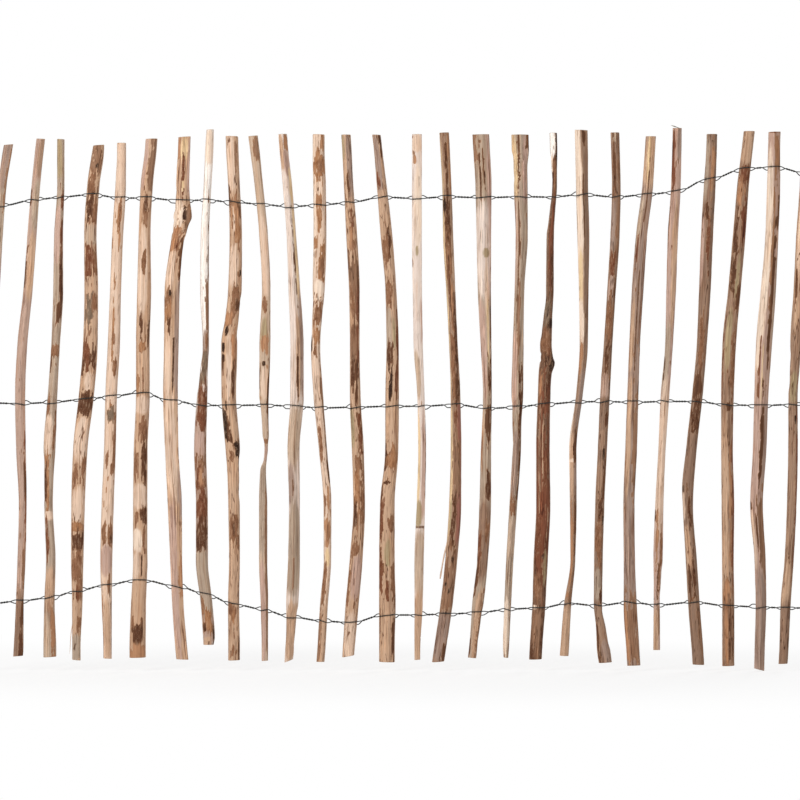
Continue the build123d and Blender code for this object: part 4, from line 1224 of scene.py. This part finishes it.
def hazel_wood(node):
    """Return the material of one picket: cleft wood, ragged bark and sawn ends."""
    material = bpy.data.materials.new(node + "_hazel")
    material.use_nodes = True
    tree = material.node_tree
    shader = tree.nodes["Principled BSDF"]
    barked, _, contrast = LOOKS[node][2:5]
    cracks = MANY_CRACKS if barked > BARKED_SHARE else SCATTERED_CRACKS
    plain = attribute_of(tree, "grain", "Vector")
    shift = tuple(number_of(node) * step for step in GRAIN_SHIFT)
    grain = vector_node(tree, "ADD", plain, shift)
    cover = placed_group(tree, shared["cover"], Cover=attribute_of(tree, "bark_cover", "Fac"), Grain=grain)
    bark_share = math_node(tree, "MULTIPLY", cover["Mask"], attribute_of(tree, "flaky", "Fac"))
    over_tone = attribute_of(tree, "bark_tone", "Color")
    tone = mix_colours(tree, cover["Mask"], attribute_of(tree, "wood_tone", "Color"), over_tone)
    wood = placed_group(tree, shared["grain"], Tone=tone, Grain=grain, Streak_Contrast=contrast,
                        Crack_Lines=cracks)
    bark = placed_group(tree, shared["bark"], Tone=over_tone, Grain=grain)
    end = placed_group(tree, shared["end"], Grain=plain)
    ends = attribute_of(tree, "end_grain", "Fac")
    rim = math_node(tree, "MULTIPLY", cover["Rim"], 0.35)
    colour = mix_colours(tree, rim, wood["Color"], RIM_TONE)
    colour = mix_colours(tree, bark_share, colour, bark["Color"])
    colour = mix_colours(tree, ends, colour, end["Color"])
    link(tree, colour, shader.inputs["Base Color"])
    roughness = range_node(tree, bark_share, 0.0, 1.0, WOOD_ROUGHNESS, BARK_ROUGHNESS)
    link(tree, roughness, shader.inputs["Roughness"])
    wood_height = math_node(tree, "MULTIPLY", wood["Height"], 0.6)
    bark_height = math_node(tree, "ADD", math_node(tree, "MULTIPLY", bark["Height"], 0.9), 0.5)
    lift = math_node(tree, "SUBTRACT", bark_height, wood_height)
    height = math_node(tree, "ADD", math_node(tree, "MULTIPLY", lift, bark_share), wood_height)
    end_height = math_node(tree, "MULTIPLY", end["Height"], math_node(tree, "MULTIPLY", ends, 0.5))
    bump_on(tree, shader, math_node(tree, "ADD", height, end_height), 0.7, 0.0007)
    shader.inputs["Specular IOR Level"].default_value = DULL_GLOSS
    return material


def galvanised_steel():
    """Return the material of the wires: dull zinc with dark stains."""
    material = bpy.data.materials.new("galvanised_steel")
    material.use_nodes = True
    tree = material.node_tree
    shader = tree.nodes["Principled BSDF"]
    place = tree.nodes.new("ShaderNodeTexCoord").outputs["Object"]
    spangle = noise_node(tree, vector_node(tree, "MULTIPLY", place, (420.0, 900.0, 900.0)), 3.0)
    stains = noise_node(tree, vector_node(tree, "MULTIPLY", place, (60.0, 140.0, 140.0)), 3.0)
    colour = mix_colours(tree, range_node(tree, spangle, 0.35, 0.65), ZINC_DARK, ZINC_PALE)
    colour = mix_colours(tree, share_node(tree, stains, 0.52, 0.7, 0.6), colour, ZINC_STAIN)
    link(tree, colour, shader.inputs["Base Color"])
    link(tree, range_node(tree, spangle, 0.3, 0.7, 0.42, 0.62), shader.inputs["Roughness"])
    shader.inputs["Metallic"].default_value = 0.1
    shader.inputs["Specular IOR Level"].default_value = DULL_GLOSS
    bump_on(tree, shader, spangle, 0.4, 0.0002)
    return material


# Wires

def route_of(node):
    """Return the middle of each section of a CAD wire, from left to right."""
    corners = corners_of(node)
    corners = corners[np.argsort(corners[:, 0])]
    groups = np.split(corners, np.nonzero(np.diff(corners[:, 0]) > SECTION_GAP)[0] + 1)
    return np.array([group.mean(0) for group in groups])


def read_row(row):
    """Return a row's middle line, its stretches past the pickets and its heights there."""
    front = route_of(f"{row}_wire_front")
    back = route_of(f"{row}_wire_back")
    middle = (front + back) / 2
    apart = np.linalg.norm(back - front, axis=1) / 2
    level_x = np.linspace(middle[0, 0], middle[-1, 0], LEVEL_STEPS)
    level_z = smoothed(np.interp(level_x, middle[:, 0], middle[:, 2]), LEVEL_REACH)
    pairs = np.nonzero(apart > PASS_GAP)[0].reshape(-1, 2)
    names = sorted(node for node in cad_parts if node.startswith("picket"))
    heights = {name: middle[pair[0], 2] for name, pair in zip(names, pairs)}
    chance = np.random.default_rng(ROW_SEEDS[row])
    splays = {}
    joins = {}
    before = middle[0, 0]
    for number, (name, (first, second)) in enumerate(zip(names, pairs)):
        upper = chance.choice((-1, 1), 2, p=UPPER_SHARES)
        front_splay = upper * chance.uniform(*FRONT_SPLAY, 2)
        back_splay = -upper * chance.uniform(*BACK_SPLAY, 2)
        splays[name] = {-1: front_splay, 1: back_splay}
        left, right = middle[first, 0], middle[second, 0]
        after = middle[pairs[number + 1][0], 0] if number + 1 < len(pairs) else middle[-1, 0]
        gaps = (left - before, after - right)
        reaches = [min(chance.uniform(*FORK_RANGE), FORK_SHARE * gap) for gap in gaps]
        joins[name] = (left - reaches[0], right + reaches[1], reaches)
        before = right
    return {"middle": middle, "level": (level_x, level_z), "pass_heights": heights, "names": names,
            "splays": splays, "joins": joins}


def half_hull(points, side):
    """Return the front (side -1) or back (side 1) half of the hull round level points."""
    chain = []
    for point in sorted(map(tuple, points), key=lambda p: (p[0], side * p[1])):
        while len(chain) > 1:
            (ax, ay), (bx, by) = chain[-2:]
            turn = (bx - ax) * (point[1] - ay) - (by - ay) * (point[0] - ax)
            if side * turn < 0:
                break
            chain.pop()
        chain.append(point)
    return np.array(chain)


def band_round(picket, height, left, right, side):
    """Return the taut line round one side of a picket between the two joins of its fork."""
    outlines = picket_shapes[picket]
    row = outlines[np.argmin(np.abs(outlines[:, :, 2].mean(1) - height))][:, :2]
    turns = np.linspace(0, 2 * math.pi, SEAT_SIDES, endpoint=False)
    circle = (WIRE_RADIUS + SEAT_GAP) * np.column_stack([np.cos(turns), np.sin(turns)])
    around = (row[:, None, :] + circle[None]).reshape(-1, 2)
    around = around[(around[:, 0] > left[0]) & (around[:, 0] < right[0])]
    return half_hull([tuple(left[:2]), tuple(right[:2]), *map(tuple, around)], side)


def smoothed(values, reach):
    """Return values smoothed over a few steps to each side."""
    steps = np.arange(-3 * reach, 3 * reach + 1)
    weights = np.exp(-0.5 * (steps / reach) ** 2)
    padded = np.pad(values, 3 * reach, mode="edge")
    return np.convolve(padded, weights / weights.sum(), mode="valid")


def wire_path(row, side):
    """Return a wire's points off its twist, with the phase and reach of its twist at each."""
    info = wire_rows[row]
    middle = info["middle"]
    count = int((middle[-1, 0] - middle[0, 0]) / WIRE_STEP)
    x = np.linspace(middle[0, 0] + END_INSET, middle[-1, 0] - END_INSET, count)
    y = np.interp(x, middle[:, 0], middle[:, 1])
    z = np.interp(x, *info["level"])
    phase = np.full(count, FRONT_PHASE)
    reach = np.full(count, TWIST_RADIUS)
    ends = [x[0]]
    for name in info["names"]:
        left_x, right_x, reaches = info["joins"][name]
        splay = info["splays"][name][side]
        left = np.array((left_x, np.interp(left_x, middle[:, 0], middle[:, 1])))
        right = np.array((right_x, np.interp(right_x, middle[:, 0], middle[:, 1])))
        inside = (x > left_x) & (x < right_x)
        band = band_round(name, info["pass_heights"][name] + splay.mean(), left, right, side)
        y[inside] = np.interp(x[inside], band[:, 0], band[:, 1])
        from_join = np.minimum(x - left_x, right_x - x)[inside]
        opening = smooth_step(0.0, 1.0, from_join / min(reaches))
        slant = np.interp(x[inside], (left_x + reaches[0], right_x - reaches[1]), splay)
        z[inside] += slant * opening
        reach[inside] *= 1 - smooth_step(0.0, FORK_EASE, from_join)
        ends += [left_x, right_x]
    ends.append(x[-1])
    for start, end in zip(ends[::2], ends[1::2]):
        turns = max(1, round((end - start) / TWIST_PITCH))
        inside = (x >= start) & (x <= end)
        phase[inside] += 2 * math.pi * turns * (x[inside] - start) / (end - start)
    if side > 0:
        phase += math.pi
    inset = WIRE_RADIUS + BOX_INSET
    y = np.clip(smoothed(y, 1), cad_box[0][1] + inset, cad_box[1][1] - inset)
    return np.column_stack([x, y, z]), phase, reach


def wire_mesh(row, side):
    """Return a wire's path as a line of points that the wire tree turns into a round wire."""
    points, phase, reach = wire_path(row, side)
    mesh = bpy.data.meshes.new(f"{row}_path")
    mesh.from_pydata(points.tolist(), [(i, i + 1) for i in range(len(points) - 1)], [])
    add_attribute(mesh, "phase", "FLOAT", phase)
    add_attribute(mesh, "reach", "FLOAT", reach)
    return mesh


# Stage

def add_lamp(name, place, energy):
    """Add a square area lamp that faces the fence."""
    data = bpy.data.lights.new(name, "AREA")
    data.size = LAMP_SIZE
    data.energy = energy
    lamp = bpy.data.objects.new(name, data)
    lamp.location = place
    lamp.rotation_euler = (Vector(LAMP_TARGET) - Vector(place)).to_track_quat("-Z", "Y").to_euler()
    bpy.context.scene.collection.objects.link(lamp)


def ray_share(tree, *kinds):
    """Return 1 for the given kinds of ray and 0 for all others."""
    path = tree.nodes.new("ShaderNodeLightPath")
    share = path.outputs[kinds[0]]
    for kind in kinds[1:]:
        share = math_node(tree, "MAXIMUM", share, path.outputs[kind])
    return share


def link_mixed(tree, share, first, second, surface):
    """Link two shaders, mixed by a share, to a surface."""
    mix = tree.nodes.new("ShaderNodeMixShader")
    link(tree, share, mix.inputs[0])
    link(tree, first, mix.inputs[1])
    link(tree, second, mix.inputs[2])
    link(tree, mix.outputs[0], surface)


def white_surroundings():
    """Give the world a soft light that the camera and mirror rays see as white."""
    world = bpy.data.worlds.new("studio")
    bpy.context.scene.world = world
    world.use_nodes = True
    tree = world.node_tree
    soft = tree.nodes["Background"]
    seen = tree.nodes.new("ShaderNodeBackground")
    for background, strength in ((soft, WORLD_LIGHT), (seen, 1.0)):
        background.inputs["Color"].default_value = (1, 1, 1, 1)
        background.inputs["Strength"].default_value = strength
    rays = ray_share(tree, "Is Camera Ray", "Is Glossy Ray", "Is Transmission Ray")
    link_mixed(tree, rays, soft.outputs[0], seen.outputs[0], tree.nodes["World Output"].inputs["Surface"])


def pale_floor():
    """Add a pale floor that keeps the fence's shadow near it and turns white further off."""
    mesh = bpy.data.meshes.new("floor")
    quarters = ((-1, -1), (1, -1), (1, 1), (-1, 1))
    corners = [(x * FLOOR_HALF_SIZE, y * FLOOR_HALF_SIZE, 0) for x, y in quarters]
    mesh.from_pydata(corners, [], [(0, 1, 2, 3)])
    floor = bpy.data.objects.new("floor", mesh)
    bpy.context.scene.collection.objects.link(floor)
    material = bpy.data.materials.new("floor_white")
    material.use_nodes = True
    tree = material.node_tree
    tree.nodes.remove(tree.nodes["Principled BSDF"])
    matt = tree.nodes.new("ShaderNodeBsdfDiffuse")
    matt.inputs["Color"].default_value = FLOOR_TONE
    white = tree.nodes.new("ShaderNodeEmission")
    white.inputs["Strength"].default_value = 1.0
    place = tree.nodes.new("ShaderNodeTexCoord").outputs["Object"]
    distance = vector_node(tree, "LENGTH", vector_node(tree, "MULTIPLY", place, (0.55, 1.0, 0.0)))
    far = range_node(tree, distance, 0.5, 1.5, FLOOR_WHITENESS, 1.0)
    share = math_node(tree, "MULTIPLY", ray_share(tree, "Is Camera Ray", "Is Glossy Ray"), far)
    surface = tree.nodes["Material Output"].inputs["Surface"]
    link_mixed(tree, share, matt.outputs[0], white.outputs[0], surface)
    mesh.materials.append(material)


def front_camera():
    """Add a long-lens camera square on to the fence, framed as in the photograph."""
    data = bpy.data.cameras.new("camera")
    data.lens = LENS
    data.sensor_width = SENSOR
    distance = VIEW_WIDTH * LENS / SENSOR
    data.clip_end = 4 * distance
    camera = bpy.data.objects.new("camera", data)
    camera.location = (VIEW_CENTRE[0], -distance, VIEW_CENTRE[1])
    camera.rotation_euler = (math.pi / 2, 0, 0)
    bpy.context.scene.collection.objects.link(camera)
    bpy.context.scene.camera = camera


# Making the fence

bpy.context.scene.view_settings.view_transform = "Standard"
picket_shapes = {}
wire_rows = {row: read_row(row) for row in ROW_SEEDS}
shared = {"grain": grain_group(), "bark": bark_group(), "cover": cover_group(), "end": end_group()}
relief = relief_tree()
twisted = wire_tree()
steel = galvanised_steel()

for picket_name in LOOKS:
    wood = hazel_wood(picket_name)
    piece = shaped(f"{picket_name}_stake", picket_mesh(picket_name), relief,
                   {"Wood": wood, "Picket Number": float(number_of(picket_name))})
    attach(piece, "root")
    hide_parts(picket_name)

for row_name in wire_rows:
    for place_name, wire_side in (("front", -1), ("back", 1)):
        piece = shaped(f"{row_name}_twisted_wire_{place_name}", wire_mesh(row_name, wire_side), twisted,
                       {"Steel": steel})
        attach(piece, "root")
        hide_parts(f"{row_name}_wire_{place_name}")

white_surroundings()
pale_floor()
for lamp_name, lamp_place, lamp_power in LAMPS:
    add_lamp(lamp_name, lamp_place, lamp_power)
front_camera()
